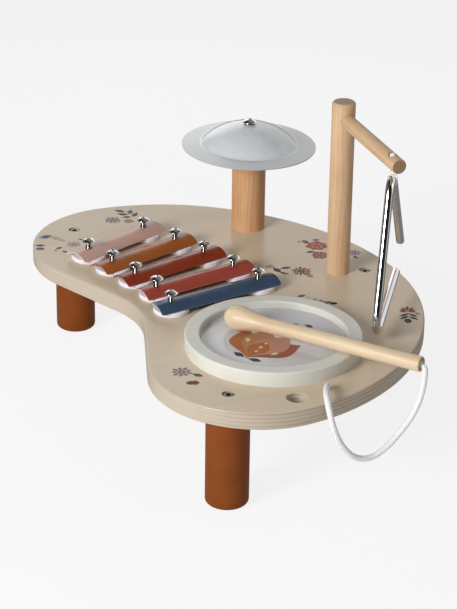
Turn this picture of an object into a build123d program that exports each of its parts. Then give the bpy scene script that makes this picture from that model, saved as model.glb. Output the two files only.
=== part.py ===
from build123d import *
import math
import os

# Musical activity table: a kidney-shaped plywood top on three legs, carrying a five-bar
# metallophone, a cymbal on a post, a triangle on a gallows arm, a drum and a corded mallet.
# Millimetres. +Z is up, the floor is z = 0 and the concave side of the top faces -Y.

CLEAR = 0.3            # running gap between a moving piece and what it rests on
SNUG = 0.05            # gap all round a screw, pin or spigot in its hole
BORE_SPARE = 1.0       # depth left below the tip of a screw
HEAD_EDGE_SHARE = 0.2  # share of a domed head's height that its straight edge takes

# Tabletop outline: two lobes, a broad back curve and a notch at the front
TOP_THICKNESS = 15.0
TOP_EDGE_ROUND = 1.8
BACK_X = 5.0           # X where the back curve is furthest back
BACK_Y = 138.8
NOTCH_X = -3.9         # X of the bottom of the notch
NOTCH_Y = -100.2
NOTCH_RADIUS = 82.0
RIGHT_LOBE = (124.7, -50.6)
RIGHT_LOBE_RADIUS = 86.7
RIGHT_SHOULDER_RADIUS = 157.5
LEFT_LOBE = (-134.2, -54.2)
LEFT_LOBE_RADIUS = 84.6
LEFT_SHOULDER_RADIUS = 175.0
SHOULDER_START = 3.2   # degrees round the lobe at which the shoulder arc takes over

# Legs
LEG_DIAMETER = 35.0
LEG_LENGTH = 80.0
LEG_FOOT_ROUND = 3.5
LEG_PLACES = {"front_left": (-180.2, -87.7), "front_right": (165.6, -93.8), "back": (0.4, 112.4)}
LEG_BOLT_DIAMETER = 6.0
LEG_BOLT_LENGTH = 34.0
LEG_BOLT_HEAD_DIAMETER = 9.6
LEG_BOLT_HEAD_HEIGHT = 3.0
LEG_BOLT_HEAD_ROUND = 1.5
LEG_BOLT_KEY = 4.0          # hexagon socket, across its flats
LEG_BOLT_KEY_DEPTH = 2.0
LEG_BOLT_SINK = 0.7         # depth of the bolt head's crown below the tabletop
LEG_BOLT_SEAT_GAP = 0.4     # gap all round the bolt head in its counterbore
INSERT_DIAMETER = 10.0
INSERT_LENGTH = 20.0

# Posts
POST_SOCKET_DEPTH = 5.0
TALL_POST = (-6.3, 89.3)
TALL_POST_DIAMETER = 20.0
TALL_POST_CHAMFER = 1.4
CYMBAL_POST = (-126.6, 59.6)
CYMBAL_POST_DIAMETER = 30.0
POST_SCREW_DIAMETER = 5.0
POST_SCREW_LENGTH = 42.0
POST_SCREW_HEAD_DIAMETER = 9.5

# Arm that carries the triangle
ARM_DIAMETER = 12.5
ARM_REACH = 117.0      # post axis to the arm's end
ARM_DROP = 14.7        # post top to the arm's axis
ARM_DIRECTION = -5.0   # degrees from +X
ARM_TENON = 6.0        # depth of the arm past the post's axis
ARM_END_ROUND = 1.0
HANG_INSET = 13.3      # arm's end to the hole that the triangle hangs from
HANG_HOLE_DIAMETER = 3.6
HANG_SINK_DIAMETER = 9.4
HANG_SINK_DEPTH = 4.7

# Triangle: one bent rod, open at its lower far corner
ROD_DIAMETER = 7.0
TRIANGLE_SIDE = 140.6  # between the corners of the rod's centre line, were they sharp
TRIANGLE_BEND = 12.0
TRIANGLE_DIRECTION = -37.35
TRIANGLE_TILT = 7.4    # degrees; the open corner is the light one and rides high
TRIANGLE_TIP_CHAMFER = 0.6
BASE_BAR_SHARE = 0.79  # share of the side that the lower bar keeps
FAR_LEG_SHARE = 0.85   # share of the side that the far leg keeps
HANG_DROP = 6.0        # arm's underside to the top of the rod
TRIANGLE_GAP = 6.6     # tabletop to the lowest of the rod
LOOP_DIAMETER = 1.4
LOOP_BEND = 6.0
LOOP_KNOT_DIAMETER = 5.4

# Cymbal
CYMBAL_DIAMETER = 119.4
CYMBAL_DOME_DIAMETER = 86.0
CYMBAL_DOME_RISE = 18.3
CYMBAL_BRIM_FALL = 1.6
CYMBAL_BRIM_HEIGHT = 79.2   # tabletop to the top of the brim's edge
CYMBAL_SHEET = 1.0
CYMBAL_CORNER = 3.0
CYMBAL_TIP = 1.3            # degrees that it leans on its felt
CYMBAL_TIP_DIRECTION = 55.0
CYMBAL_HOLE_DIAMETER = 7.0
CYMBAL_SCREW_DIAMETER = 5.0
CYMBAL_SCREW_LENGTH = 40.0
CYMBAL_HEAD_DIAMETER = 12.6
CYMBAL_HEAD_HEIGHT = 2.8
FELT_DIAMETER = 18.0
FELT_THICKNESS = 3.0
TOP_WASHER_DIAMETER = 9.6
TOP_WASHER_THICKNESS = 1.2

# Drum
DRUM = (104.3, -25.7)
DRUM_DIAMETER = 144.0
DRUM_WALL = 12.5
DRUM_HEIGHT = 12.3
DRUM_RIM_ROUND = 1.4
DRUM_RECESS = 6.0      # rim to drumhead
DRUM_RABBET = 4.0      # how far the drumhead reaches under the rim
DRUMHEAD_THICKNESS = 0.8
HOOP_WIDTH = 7.0
SOUND_HOLE_INSET = 7.5 # ring's opening to the edge of the hole in the tabletop
DRUM_SCREW_COUNT = 4
DRUM_SCREW_DIAMETER = 3.5
DRUM_SCREW_HEAD_DIAMETER = 7.0
DRUM_SCREW_BITE = 8.0
DRUM_SCREW_START = 45.0

# Metallophone: (near screw, distance to the far screw, direction of the bar)
BARS = [
    ((-116.6, -98.7), 66.8, 111.8),
    ((-84.4, -89.1), 71.9, 107.9),
    ((-53.4, -80.5), 74.4, 104.1),
    ((-20.8, -74.8), 78.4, 99.9),
    ((11.0, -75.2), 86.6, 98.2),
]
BAR_WIDTH = 25.0
BAR_RISE = 5.5
BAR_SHEET = 1.0
BAR_OVERHANG = 16.0    # screw to the end of the bar
BAR_CORNER = 2.0
BAR_HOLE_DIAMETER = 6.5
PAD_DIAMETER = 30.0
PAD_THICKNESS = 4.0
PAD_HOLE_DIAMETER = 6.0
BAR_SCREW_DIAMETER = 5.0
BAR_SCREW_BITE = 11.0
BAR_HEAD_DIAMETER = 11.4
BAR_HEAD_HEIGHT = 2.8
BAR_PLAY = 6.0         # how far a bar can rise before it meets its screw heads

# Mallet, lying across the drum with its head on the drumhead
MALLET_HEAD_OFFSET = (-27.0, -18.8)     # drum centre to the middle of the head
MALLET_DIRECTION = 33.8
MALLET_HEAD_DIAMETER = 20.6
MALLET_HANDLE_DIAMETER = 12.5
MALLET_NOSE = 12.5          # middle of the head to its tip
MALLET_NOSE_PULL = 0.55     # curve's pull as a share of its length; 0.55 is all but round
MALLET_NECK = 30.0          # middle of the head to the plain handle
MALLET_NECK_PULLS = (0.30, 0.50)        # the same at the neck's head end and handle end
MALLET_REACH = 166.0        # middle of the head to the end of the handle
MALLET_END_ROUND = 1.2
MALLET_CORD_HOLE_DIAMETER = 5.5
MALLET_CORD_HOLE_DEPTH = 14.0
MALLET_HOLE = (192.0, -47.7)
MALLET_HOLE_DIAMETER = 16.0
MALLET_HOLE_CHAMFER = 0.8

# Mallet cord. The end that leaves the mallet is tapered, so that the mallet can swing up.
CORD_DIAMETER = 4.8
CORD_HOLE = (188.2, -19.6)
CORD_HOLE_DIAMETER = 5.8
CORD_START_DEPTH = 7.0      # below the top face, where the knot's stub ends
CORD_KNOT_DIAMETER = 11.0
CORD_END_TAPER = 2.1
CORD_ARC_SHARE = 0.45       # share of the shorter run that an arc's tangent takes
CORD_POINTS = [
    (188.2, -19.6, 88.0), (188.2, -19.6, 96.0), (190.4, -20.9, 99.2), (196.5, -24.6, 101.4),
    (204.3, -29.2, 102.3), (211.0, -32.0, 101.7), (218.6, -34.4, 98.2), (222.4, -33.9, 89.2),
    (222.8, -30.7, 78.5), (221.7, -26.4, 68.7), (220.6, -20.3, 58.4), (220.2, -12.6, 49.9),
    (219.6, -3.4, 45.1), (218.6, 7.1, 44.4), (217.4, 17.7, 48.8), (216.5, 27.2, 55.8),
    (215.9, 36.6, 65.3), (215.7, 43.1, 74.4), (216.0, 47.3, 84.5), (216.5, 49.3, 94.2),
    (217.2, 49.8, 102.4), (218.0, 49.7, 109.0), (217.5, 49.3, 113.8), (215.6, 48.1, 115.4),
]

# Sizes and heights that follow from the ones above
DRUM_OPENING = DRUM_DIAMETER - 2 * DRUM_WALL
SOUND_HOLE_DIAMETER = DRUM_OPENING - 2 * SOUND_HOLE_INSET
HANG_REACH = ARM_REACH - HANG_INSET
BEND_SPAN = TRIANGLE_SIDE - 2 * math.sqrt(3) * TRIANGLE_BEND      # between two bends' centres
TRIANGLE_DEPTH = (ROD_DIAMETER + 2 * TRIANGLE_BEND
                  + BEND_SPAN * math.sin(math.radians(60 + TRIANGLE_TILT)))
TALL_POST_HEIGHT = TRIANGLE_GAP + TRIANGLE_DEPTH + HANG_DROP + ARM_DIAMETER / 2 + ARM_DROP
TOP_Z = LEG_LENGTH + TOP_THICKNESS
ARM_Z = TOP_Z + TALL_POST_HEIGHT - ARM_DROP
ROD_TOP_Z = ARM_Z - ARM_DIAMETER / 2 - HANG_DROP
DRUMHEAD_Z = TOP_Z + DRUM_HEIGHT - DRUM_RECESS
DOME_TOP_Z = TOP_Z + CYMBAL_BRIM_HEIGHT + CYMBAL_BRIM_FALL + CYMBAL_DOME_RISE
BAR_SEAT_Z = TOP_Z + PAD_THICKNESS
BAR_HEAD_Z = BAR_SEAT_Z + CLEAR + BAR_RISE + BAR_PLAY + CLEAR

BOTTOM = (Align.CENTER, Align.CENTER, Align.MIN)
TOP = (Align.CENTER, Align.CENTER, Align.MAX)


def unit(degrees):
    return Vector(math.cos(math.radians(degrees)), math.sin(math.radians(degrees)), 0)


def on_circle(centre, radius, degrees):
    return Vector(*centre) + unit(degrees) * radius


def rod(radius, low, high):
    """Upright cylinder between two heights."""
    return Pos(0, 0, low) * Cylinder(radius, high - low, align=BOTTOM)


def turned(points):
    """Solid of revolution about Z from a closed (radius, height) outline."""
    outline = Polyline(*[(r, 0, z) for r, z in points], close=True)
    return revolve(make_face(outline), Axis.Z)


def domed_screw(shank, length, head, height):
    """Screw that points down, with its head's flat underside at z = 0."""
    radius = head / 2
    edge = height * HEAD_EDGE_SHARE
    crown = height - edge
    sphere = (radius**2 + crown**2) / (2 * crown)
    middle = height - sphere + math.sqrt(sphere**2 - (radius / 2)**2)
    side = Polyline((0, 0, height), (0, 0, -length), (shank / 2, 0, shank - length),
                    (shank / 2, 0, 0), (radius, 0, 0), (radius, 0, edge))
    dome = ThreePointArc((radius, 0, edge), (radius / 2, 0, middle), (0, 0, height))
    return revolve(make_face(Wire([*side.edges(), dome])), Axis.Z)


def countersunk_screw(shank, head, length):
    """Wood screw that points up, with its flat head at z = 0."""
    taper = (head - shank) / 2
    return turned([(0, 0), (head / 2, 0), (shank / 2, taper), (shank / 2, length - shank),
                   (0, length)])


def outline_half(side, lobe, lobe_radius, shoulder_radius):
    """Edges from the bottom of the notch round one lobe to the back. side is 1 or -1.

    The half is worked out with the lobe on the right, and mirrored for the left.
    """
    back_x = BACK_X * side
    notch = Vector(NOTCH_X * side, NOTCH_Y - NOTCH_RADIUS)
    lobe = Vector(lobe[0] * side, lobe[1])
    shoulder = lobe + unit(SHOULDER_START) * (lobe_radius - shoulder_radius)
    gap = shoulder.Y - BACK_Y
    reach = shoulder.X - back_x
    back_radius = (shoulder_radius**2 - reach**2 - gap**2) / (2 * (gap + shoulder_radius))
    back = Vector(back_x, BACK_Y - back_radius)

    across = lobe - notch
    bearing = math.degrees(math.atan2(across.Y, across.X))
    lean = math.degrees(math.acos((lobe_radius + NOTCH_RADIUS) / across.length))
    leave = bearing + lean
    join = math.degrees(math.atan2(shoulder.Y - back.Y, shoulder.X - back.X))

    def arc(centre, radius, start, end):
        middle = (start + end) / 2
        places = [on_circle(centre, radius, angle) for angle in (start, middle, end)]
        return ThreePointArc(*[(p.X * side, p.Y) for p in places])

    notch_arc = arc(notch, NOTCH_RADIUS, 90, leave)
    lobe_arc = arc(lobe, lobe_radius, leave - 180, SHOULDER_START)
    flank = Line(notch_arc @ 1, lobe_arc @ 0)
    shoulder_arc = arc(shoulder, shoulder_radius, SHOULDER_START, join)
    back_arc = arc(back, back_radius, join, 90)
    return [notch_arc, flank, lobe_arc, shoulder_arc, back_arc]


def drum_screw_places():
    radius = (DRUM_OPENING / 2 + DRUM_RABBET + DRUM_DIAMETER / 2) / 2
    step = 360 / DRUM_SCREW_COUNT
    return [on_circle(DRUM, radius, DRUM_SCREW_START + step * n) for n in range(DRUM_SCREW_COUNT)]


def bar_screw_places():
    places = []
    for near, span, direction in BARS:
        places += [Vector(*near), Vector(*near) + unit(direction) * span]
    return places


def countersink(shank, head):
    """Cutter for a countersunk screw that enters from below at z = 0."""
    return countersunk_screw(shank + 2 * SNUG, head + 2 * SNUG, TOP_THICKNESS + head)


def make_tabletop():
    right = outline_half(1, RIGHT_LOBE, RIGHT_LOBE_RADIUS, RIGHT_SHOULDER_RADIUS)
    left = outline_half(-1, LEFT_LOBE, LEFT_LOBE_RADIUS, LEFT_SHOULDER_RADIUS)
    board = extrude(make_face(Wire(right + left)), TOP_THICKNESS)
    rims = board.edges().group_by(Axis.Z)
    board = fillet(rims[0] + rims[-1], TOP_EDGE_ROUND)

    cuts = []
    for place in LEG_PLACES.values():
        bore = rod(LEG_BOLT_DIAMETER / 2 + SNUG, 0, TOP_THICKNESS)
        seat = TOP_THICKNESS - LEG_BOLT_HEAD_HEIGHT - LEG_BOLT_SINK
        bore += rod(LEG_BOLT_HEAD_DIAMETER / 2 + LEG_BOLT_SEAT_GAP, seat, TOP_THICKNESS)
        cuts.append(Pos(*place) * bore)
    for place, diameter in ((TALL_POST, TALL_POST_DIAMETER), (CYMBAL_POST, CYMBAL_POST_DIAMETER)):
        socket = rod(diameter / 2 + SNUG, TOP_THICKNESS - POST_SOCKET_DEPTH, TOP_THICKNESS)
        socket += countersink(POST_SCREW_DIAMETER, POST_SCREW_HEAD_DIAMETER)
        cuts.append(Pos(*place) * socket)
    cuts.append(Pos(*DRUM) * rod(SOUND_HOLE_DIAMETER / 2, 0, TOP_THICKNESS))
    for place in drum_screw_places():
        cuts.append(Pos(place) * countersink(DRUM_SCREW_DIAMETER, DRUM_SCREW_HEAD_DIAMETER))
    for place in bar_screw_places():
        pilot_end = TOP_THICKNESS - BAR_SCREW_BITE - BORE_SPARE
        pilot = rod(BAR_SCREW_DIAMETER / 2 + SNUG, pilot_end, TOP_THICKNESS)
        cuts.append(Pos(place) * pilot)
    cuts.append(Pos(*CORD_HOLE) * rod(CORD_HOLE_DIAMETER / 2, 0, TOP_THICKNESS))

    radius = MALLET_HOLE_DIAMETER / 2
    wide = radius + MALLET_HOLE_CHAMFER
    holder = turned([(0, 0), (wide, 0), (radius, MALLET_HOLE_CHAMFER),
                     (radius, TOP_THICKNESS - MALLET_HOLE_CHAMFER), (wide, TOP_THICKNESS),
                     (0, TOP_THICKNESS)])
    cuts.append(Pos(*MALLET_HOLE) * holder)
    return Pos(0, 0, LEG_LENGTH) * (board - cuts)


def make_leg():
    leg = Cylinder(LEG_DIAMETER / 2, LEG_LENGTH, align=BOTTOM)
    leg = fillet(leg.edges().sort_by(Axis.Z)[0], LEG_FOOT_ROUND)
    bolt_end = TOP_Z - LEG_BOLT_SINK - LEG_BOLT_HEAD_HEIGHT - LEG_BOLT_LENGTH
    bore = rod(INSERT_DIAMETER / 2 + SNUG, LEG_LENGTH - INSERT_LENGTH, LEG_LENGTH)
    return leg - bore - rod(LEG_BOLT_DIAMETER / 2 + SNUG, bolt_end - BORE_SPARE, LEG_LENGTH)


def make_leg_bolt():
    """Button-head socket bolt, pointing down, with its crown sunk below the tabletop."""
    head = rod(LEG_BOLT_HEAD_DIAMETER / 2, 0, LEG_BOLT_HEAD_HEIGHT)
    head = fillet(head.edges().sort_by(Axis.Z)[-1], LEG_BOLT_HEAD_ROUND)
    key = extrude(RegularPolygon(LEG_BOLT_KEY / 2, 6, major_radius=False), LEG_BOLT_KEY_DEPTH)
    head -= Pos(0, 0, LEG_BOLT_HEAD_HEIGHT - LEG_BOLT_KEY_DEPTH) * key
    bolt = head + rod(LEG_BOLT_DIAMETER / 2, -LEG_BOLT_LENGTH, 0)
    return Pos(0, 0, TOP_Z - LEG_BOLT_SINK - LEG_BOLT_HEAD_HEIGHT) * bolt


def make_leg_insert():
    sleeve = rod(INSERT_DIAMETER / 2, LEG_LENGTH - INSERT_LENGTH, LEG_LENGTH)
    return sleeve - rod(LEG_BOLT_DIAMETER / 2 + SNUG, LEG_LENGTH - INSERT_LENGTH, LEG_LENGTH)


def at_legs(piece):
    return Compound(children=[Pos(*place) * piece for place in LEG_PLACES.values()])


def make_post_screw():
    return Pos(0, 0, LEG_LENGTH) * countersunk_screw(POST_SCREW_DIAMETER, POST_SCREW_HEAD_DIAMETER,
                                                     POST_SCREW_LENGTH)


def post_blank(diameter, height):
    """Post from the bottom of its socket, bored for the screw that holds it from below."""
    base = TOP_Z - POST_SOCKET_DEPTH
    post = rod(diameter / 2, base, TOP_Z + height)
    bored = LEG_LENGTH + POST_SCREW_LENGTH + BORE_SPARE
    return post, rod(POST_SCREW_DIAMETER / 2 + SNUG, base, bored)


def arm_frame():
    """Location on the arm's axis at the post, with X out along the arm."""
    return Pos(TALL_POST[0], TALL_POST[1], ARM_Z) * Rot(0, 0, ARM_DIRECTION)


def make_tall_post():
    post, bore = post_blank(TALL_POST_DIAMETER, TALL_POST_HEIGHT)
    post = chamfer(post.edges().sort_by(Axis.Z)[-1], TALL_POST_CHAMFER)
    mortise = Pos(-ARM_TENON, 0, 0) * Rot(0, 90, 0) * Cylinder(
        ARM_DIAMETER / 2 + SNUG, ARM_TENON + TALL_POST_DIAMETER, align=BOTTOM)
    return Pos(*TALL_POST) * (post - bore) - arm_frame() * mortise


def make_triangle_arm():
    arm = Pos(-ARM_TENON, 0, 0) * Rot(0, 90, 0) * Cylinder(
        ARM_DIAMETER / 2, ARM_TENON + ARM_REACH, align=BOTTOM)
    arm = fillet(arm.edges().sort_by(Axis.X)[-1], ARM_END_ROUND)
    top = ARM_DIAMETER / 2
    sink = HANG_SINK_DIAMETER / 2
    hole = HANG_HOLE_DIAMETER / 2
    cutter = turned([(0, -2 * top), (hole, -2 * top), (hole, top - HANG_SINK_DEPTH), (sink, top),
                     (sink, 2 * top), (0, 2 * top)])
    return arm_frame() * (arm - Pos(HANG_REACH, 0, 0) * cutter)


def hang_point():
    """Top of the rod's centre line, straight below the arm's hole."""
    place = Vector(*TALL_POST) + unit(ARM_DIRECTION) * HANG_REACH
    return Vector(place.X, place.Y, ROD_TOP_Z - ROD_DIAMETER / 2)


def make_triangle():
    """The rod's centre line is drawn in XZ with its top bend centred on the origin."""
    height = TRIANGLE_SIDE * math.sqrt(3) / 2
    apex = Vector(0, 0, 2 * TRIANGLE_BEND)
    near = apex + Vector(TRIANGLE_SIDE / 2, 0, -height)
    far = apex + Vector(-TRIANGLE_SIDE / 2, 0, -height)
    leg_end = apex + (far - apex) * FAR_LEG_SHARE
    bar_end = near + (far - near) * BASE_BAR_SHARE
    line = FilletPolyline(leg_end, apex, near, bar_end, radius=TRIANGLE_BEND)
    section = Plane(origin=line @ 0, z_dir=line % 0) * Circle(ROD_DIAMETER / 2)
    body = sweep(section, path=line)
    tips = body.faces().filter_by(GeomType.PLANE)
    body = chamfer(tips.edges(), TRIANGLE_TIP_CHAMFER)
    hung = Pos(0, 0, -TRIANGLE_BEND) * Rot(0, TRIANGLE_TILT, 0) * body
    return Pos(hang_point()) * Rot(0, 0, TRIANGLE_DIRECTION) * hung


def knot_seat():
    """Height of the loop knot's centre and flat base, as it sits in the arm's countersink."""
    hole = HANG_HOLE_DIAMETER / 2
    flare = math.atan((HANG_SINK_DIAMETER / 2 - hole) / HANG_SINK_DEPTH)
    wall = (LOOP_KNOT_DIAMETER / 2 + CLEAR) / math.cos(flare)
    centre = ARM_Z + ARM_DIAMETER / 2 - HANG_SINK_DEPTH + (wall - hole) / math.tan(flare)
    strands = LOOP_DIAMETER + 2 * SNUG
    base = centre - math.sqrt((LOOP_KNOT_DIAMETER / 2)**2 - strands**2)
    return centre, base


def make_triangle_loop():
    """Cord round the rod with both strands up through the arm, in a plane across the rod.

    One half is drawn in XZ about the rod's centre and mirrored.
    """
    rod_centre = hang_point()
    bend = ROD_DIAMETER / 2 + CLEAR + LOOP_DIAMETER / 2
    strand = LOOP_DIAMETER / 2 + SNUG
    mouth = HANG_DROP + ROD_DIAMETER / 2
    top = knot_seat()[1] - rod_centre.Z
    touch = math.atan2(mouth, strand) - math.acos(bend / math.hypot(strand, mouth))
    trim = LOOP_BEND * math.tan(touch / 2)
    side = Vector(bend * math.cos(touch), 0, bend * math.sin(touch))
    knee = Vector(strand, 0, mouth)
    upper = knee + Vector(0, 0, trim)
    lower = knee + (side - knee).normalized() * trim
    flare = math.pi - touch / 2
    centre = Vector(strand + LOOP_BEND, 0, mouth + trim)
    middle = centre + Vector(math.cos(flare), 0, -math.sin(flare)) * LOOP_BEND
    below = touch / 2 - math.pi / 4
    half = Wire([
        Line((strand, 0, top), upper),
        ThreePointArc(upper, middle, lower),
        Line(lower, side),
        ThreePointArc(side, Vector(math.cos(below), 0, math.sin(below)) * bend, (0, 0, -bend)),
    ])
    path = Wire(half.edges() + half.mirror(Plane.YZ).edges())
    section = Plane(origin=(strand, 0, top), z_dir=(0, 0, -1)) * Circle(LOOP_DIAMETER / 2)
    return Pos(rod_centre) * Rot(0, 0, TRIANGLE_DIRECTION + 90) * sweep(section, path=path)


def make_triangle_knot():
    centre, base = knot_seat()
    place = hang_point()
    ball = Pos(place.X, place.Y, centre) * Sphere(LOOP_KNOT_DIAMETER / 2)
    return split(ball, Plane((place.X, place.Y, base)), keep=Keep.TOP)


def make_cymbal_post():
    post, bore = post_blank(CYMBAL_POST_DIAMETER, cymbal_felt_z() - TOP_Z)
    bored = cymbal_head_z() - CYMBAL_SCREW_LENGTH - BORE_SPARE
    bore += rod(CYMBAL_SCREW_DIAMETER / 2 + SNUG, bored, cymbal_felt_z())
    return Pos(*CYMBAL_POST) * (post - bore)


def dome_radius():
    """Radius of the dome's outer sphere."""
    half = CYMBAL_DOME_DIAMETER / 2
    return (half**2 + CYMBAL_DOME_RISE**2) / (2 * CYMBAL_DOME_RISE)


def cymbal_felt_z():
    """Underside of the felt: the dome's underside curves down and leans over the felt's edge."""
    inner = dome_radius() - CYMBAL_SHEET
    half = FELT_DIAMETER / 2
    sag = inner - math.sqrt(inner**2 - half**2)
    lean = half * math.sin(math.radians(CYMBAL_TIP))
    return DOME_TOP_Z - CYMBAL_SHEET - sag - lean - CLEAR - FELT_THICKNESS


def cymbal_head_z():
    return DOME_TOP_Z + CLEAR + TOP_WASHER_THICKNESS


def make_cymbal():
    """Spun sheet of even thickness, drawn with the top of its dome at z = 0."""
    outer = dome_radius()
    inner = outer - CYMBAL_SHEET
    brim = CYMBAL_DIAMETER / 2
    corner = CYMBAL_DOME_DIAMETER / 2
    hole = CYMBAL_HOLE_DIAMETER / 2
    slope = math.atan(CYMBAL_BRIM_FALL / (brim - corner))
    edge = Vector(brim, 0, -CYMBAL_DOME_RISE - CYMBAL_BRIM_FALL)
    bend = Vector(corner, 0, -CYMBAL_DOME_RISE)
    under_edge = edge - Vector(math.sin(slope), 0, math.cos(slope)) * CYMBAL_SHEET

    # Where the brim's underside meets the dome's, from the sphere's centre
    off = (under_edge.Z + outer) * math.cos(slope) + under_edge.X * math.sin(slope)
    along = math.sqrt(inner**2 - off**2)
    under_bend = Vector(along * math.cos(slope) + off * math.sin(slope), 0,
                        off * math.cos(slope) - along * math.sin(slope) - outer)

    def on_dome(radius, x):
        return (x, 0, math.sqrt(radius**2 - x**2) - outer)

    middle = (corner + hole) / 2
    outline = [
        Line(edge, bend),
        ThreePointArc(bend, on_dome(outer, middle), on_dome(outer, hole)),
        Line(on_dome(outer, hole), on_dome(inner, hole)),
        ThreePointArc(on_dome(inner, hole), on_dome(inner, middle), under_bend),
        Line(under_bend, under_edge),
        Line(under_edge, edge),
    ]
    cymbal = revolve(make_face(Wire(outline)), Axis.Z)
    circles = cymbal.edges().filter_by(GeomType.CIRCLE)
    creases = circles.filter_by(lambda circle: abs(circle.radius - corner) < CYMBAL_SHEET)
    cymbal = fillet(creases, CYMBAL_CORNER)
    turn = Rot(0, 0, CYMBAL_TIP_DIRECTION)
    back = Rot(0, 0, -CYMBAL_TIP_DIRECTION)
    return Pos(*CYMBAL_POST, DOME_TOP_Z) * turn * Rot(0, CYMBAL_TIP, 0) * back * cymbal


def make_cymbal_felt():
    felt = rod(FELT_DIAMETER / 2, 0, FELT_THICKNESS)
    felt -= rod(CYMBAL_SCREW_DIAMETER / 2 + CLEAR, 0, FELT_THICKNESS)
    return Pos(*CYMBAL_POST, cymbal_felt_z()) * felt


def make_cymbal_washer():
    washer = rod(TOP_WASHER_DIAMETER / 2, 0, TOP_WASHER_THICKNESS)
    washer -= rod(CYMBAL_SCREW_DIAMETER / 2 + SNUG, 0, TOP_WASHER_THICKNESS)
    return Pos(*CYMBAL_POST, DOME_TOP_Z + CLEAR) * washer


def make_cymbal_screw():
    screw = domed_screw(CYMBAL_SCREW_DIAMETER, CYMBAL_SCREW_LENGTH, CYMBAL_HEAD_DIAMETER,
                        CYMBAL_HEAD_HEIGHT)
    return Pos(*CYMBAL_POST, cymbal_head_z()) * screw


def rabbet_radius():
    return DRUM_OPENING / 2 + DRUM_RABBET


def make_drum_ring():
    """Ring with a rounded rim, rabbeted from below for the drumhead and its hoop."""
    outer = DRUM_DIAMETER / 2
    inner = DRUM_OPENING / 2
    ring = turned([(inner, DRUM_HEIGHT - DRUM_RECESS), (rabbet_radius(), DRUM_HEIGHT - DRUM_RECESS),
                   (rabbet_radius(), 0), (outer, 0), (outer, DRUM_HEIGHT), (inner, DRUM_HEIGHT)])
    ring = fillet(ring.edges().group_by(Axis.Z)[-1], DRUM_RIM_ROUND)
    ring = Pos(*DRUM, TOP_Z) * ring
    pilot_end = TOP_Z + DRUM_SCREW_BITE + BORE_SPARE
    for place in drum_screw_places():
        ring -= Pos(place) * rod(DRUM_SCREW_DIAMETER / 2 + SNUG, TOP_Z, pilot_end)
    return ring


def make_drumhead():
    sheet = rod(rabbet_radius() - SNUG, DRUMHEAD_Z - DRUMHEAD_THICKNESS, DRUMHEAD_Z)
    return Pos(*DRUM) * sheet


def make_drum_hoop():
    outer = rabbet_radius() - SNUG
    top = DRUMHEAD_Z - DRUMHEAD_THICKNESS
    return Pos(*DRUM) * (rod(outer, TOP_Z, top) - rod(outer - HOOP_WIDTH, TOP_Z, top))


def make_drum_screws():
    screw = countersunk_screw(DRUM_SCREW_DIAMETER, DRUM_SCREW_HEAD_DIAMETER,
                              TOP_THICKNESS + DRUM_SCREW_BITE)
    screw = Pos(0, 0, LEG_LENGTH) * screw
    return Compound(children=[Pos(place) * screw for place in drum_screw_places()])


def make_bar(near, span, direction):
    """Arched sheet: an arc in section, cut flat along both edges, with a hole near each end."""
    half = BAR_WIDTH / 2
    outer = (half**2 + BAR_RISE**2) / (2 * BAR_RISE)
    inner = outer - BAR_SHEET
    foot = math.sqrt(inner**2 - (outer - BAR_RISE)**2)
    outline = [
        ThreePointArc((0, -half, 0), (0, 0, BAR_RISE), (0, half, 0)),
        Line((0, half, 0), (0, foot, 0)),
        ThreePointArc((0, foot, 0), (0, 0, BAR_RISE - BAR_SHEET), (0, -foot, 0)),
        Line((0, -foot, 0), (0, -half, 0)),
    ]
    length = span + 2 * BAR_OVERHANG
    bar = extrude(make_face(Wire(outline)), length, dir=(1, 0, 0))
    plan = Pos(length / 2, 0, 0) * RectangleRounded(length, BAR_WIDTH, BAR_CORNER)
    bar &= extrude(plan, BAR_RISE)
    for place in (BAR_OVERHANG, BAR_OVERHANG + span):
        bar -= Pos(place, 0, 0) * rod(BAR_HOLE_DIAMETER / 2, 0, BAR_RISE)
    lie = Pos(*near, BAR_SEAT_Z + CLEAR) * Rot(0, 0, direction)
    return lie * Pos(-BAR_OVERHANG, 0, 0) * bar


def make_bar_pads():
    pad = rod(PAD_DIAMETER / 2, TOP_Z, BAR_SEAT_Z) - rod(PAD_HOLE_DIAMETER / 2, TOP_Z, BAR_SEAT_Z)
    return Compound(children=[Pos(place) * pad for place in bar_screw_places()])


def make_bar_screws():
    length = BAR_HEAD_Z - TOP_Z + BAR_SCREW_BITE
    screw = domed_screw(BAR_SCREW_DIAMETER, length, BAR_HEAD_DIAMETER, BAR_HEAD_HEIGHT)
    screw = Pos(0, 0, BAR_HEAD_Z) * screw
    return Compound(children=[Pos(place) * screw for place in bar_screw_places()])


def mallet_frame():
    """Location at the middle of the mallet's head, with X along the handle.

    The head lies on the drumhead and the handle on the inner edge of the drum's rim.
    """
    head_z = DRUMHEAD_Z + CLEAR + MALLET_HEAD_DIAMETER / 2
    rim_z = TOP_Z + DRUM_HEIGHT + CLEAR + MALLET_HANDLE_DIAMETER / 2
    run = math.hypot(*MALLET_HEAD_OFFSET) + DRUM_OPENING / 2
    climb = math.degrees(math.atan((rim_z - head_z) / run))
    head = Vector(*DRUM) + Vector(*MALLET_HEAD_OFFSET)
    return Pos(head.X, head.Y, head_z) * Rot(0, 0, MALLET_DIRECTION) * Rot(0, -climb, 0)


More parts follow.
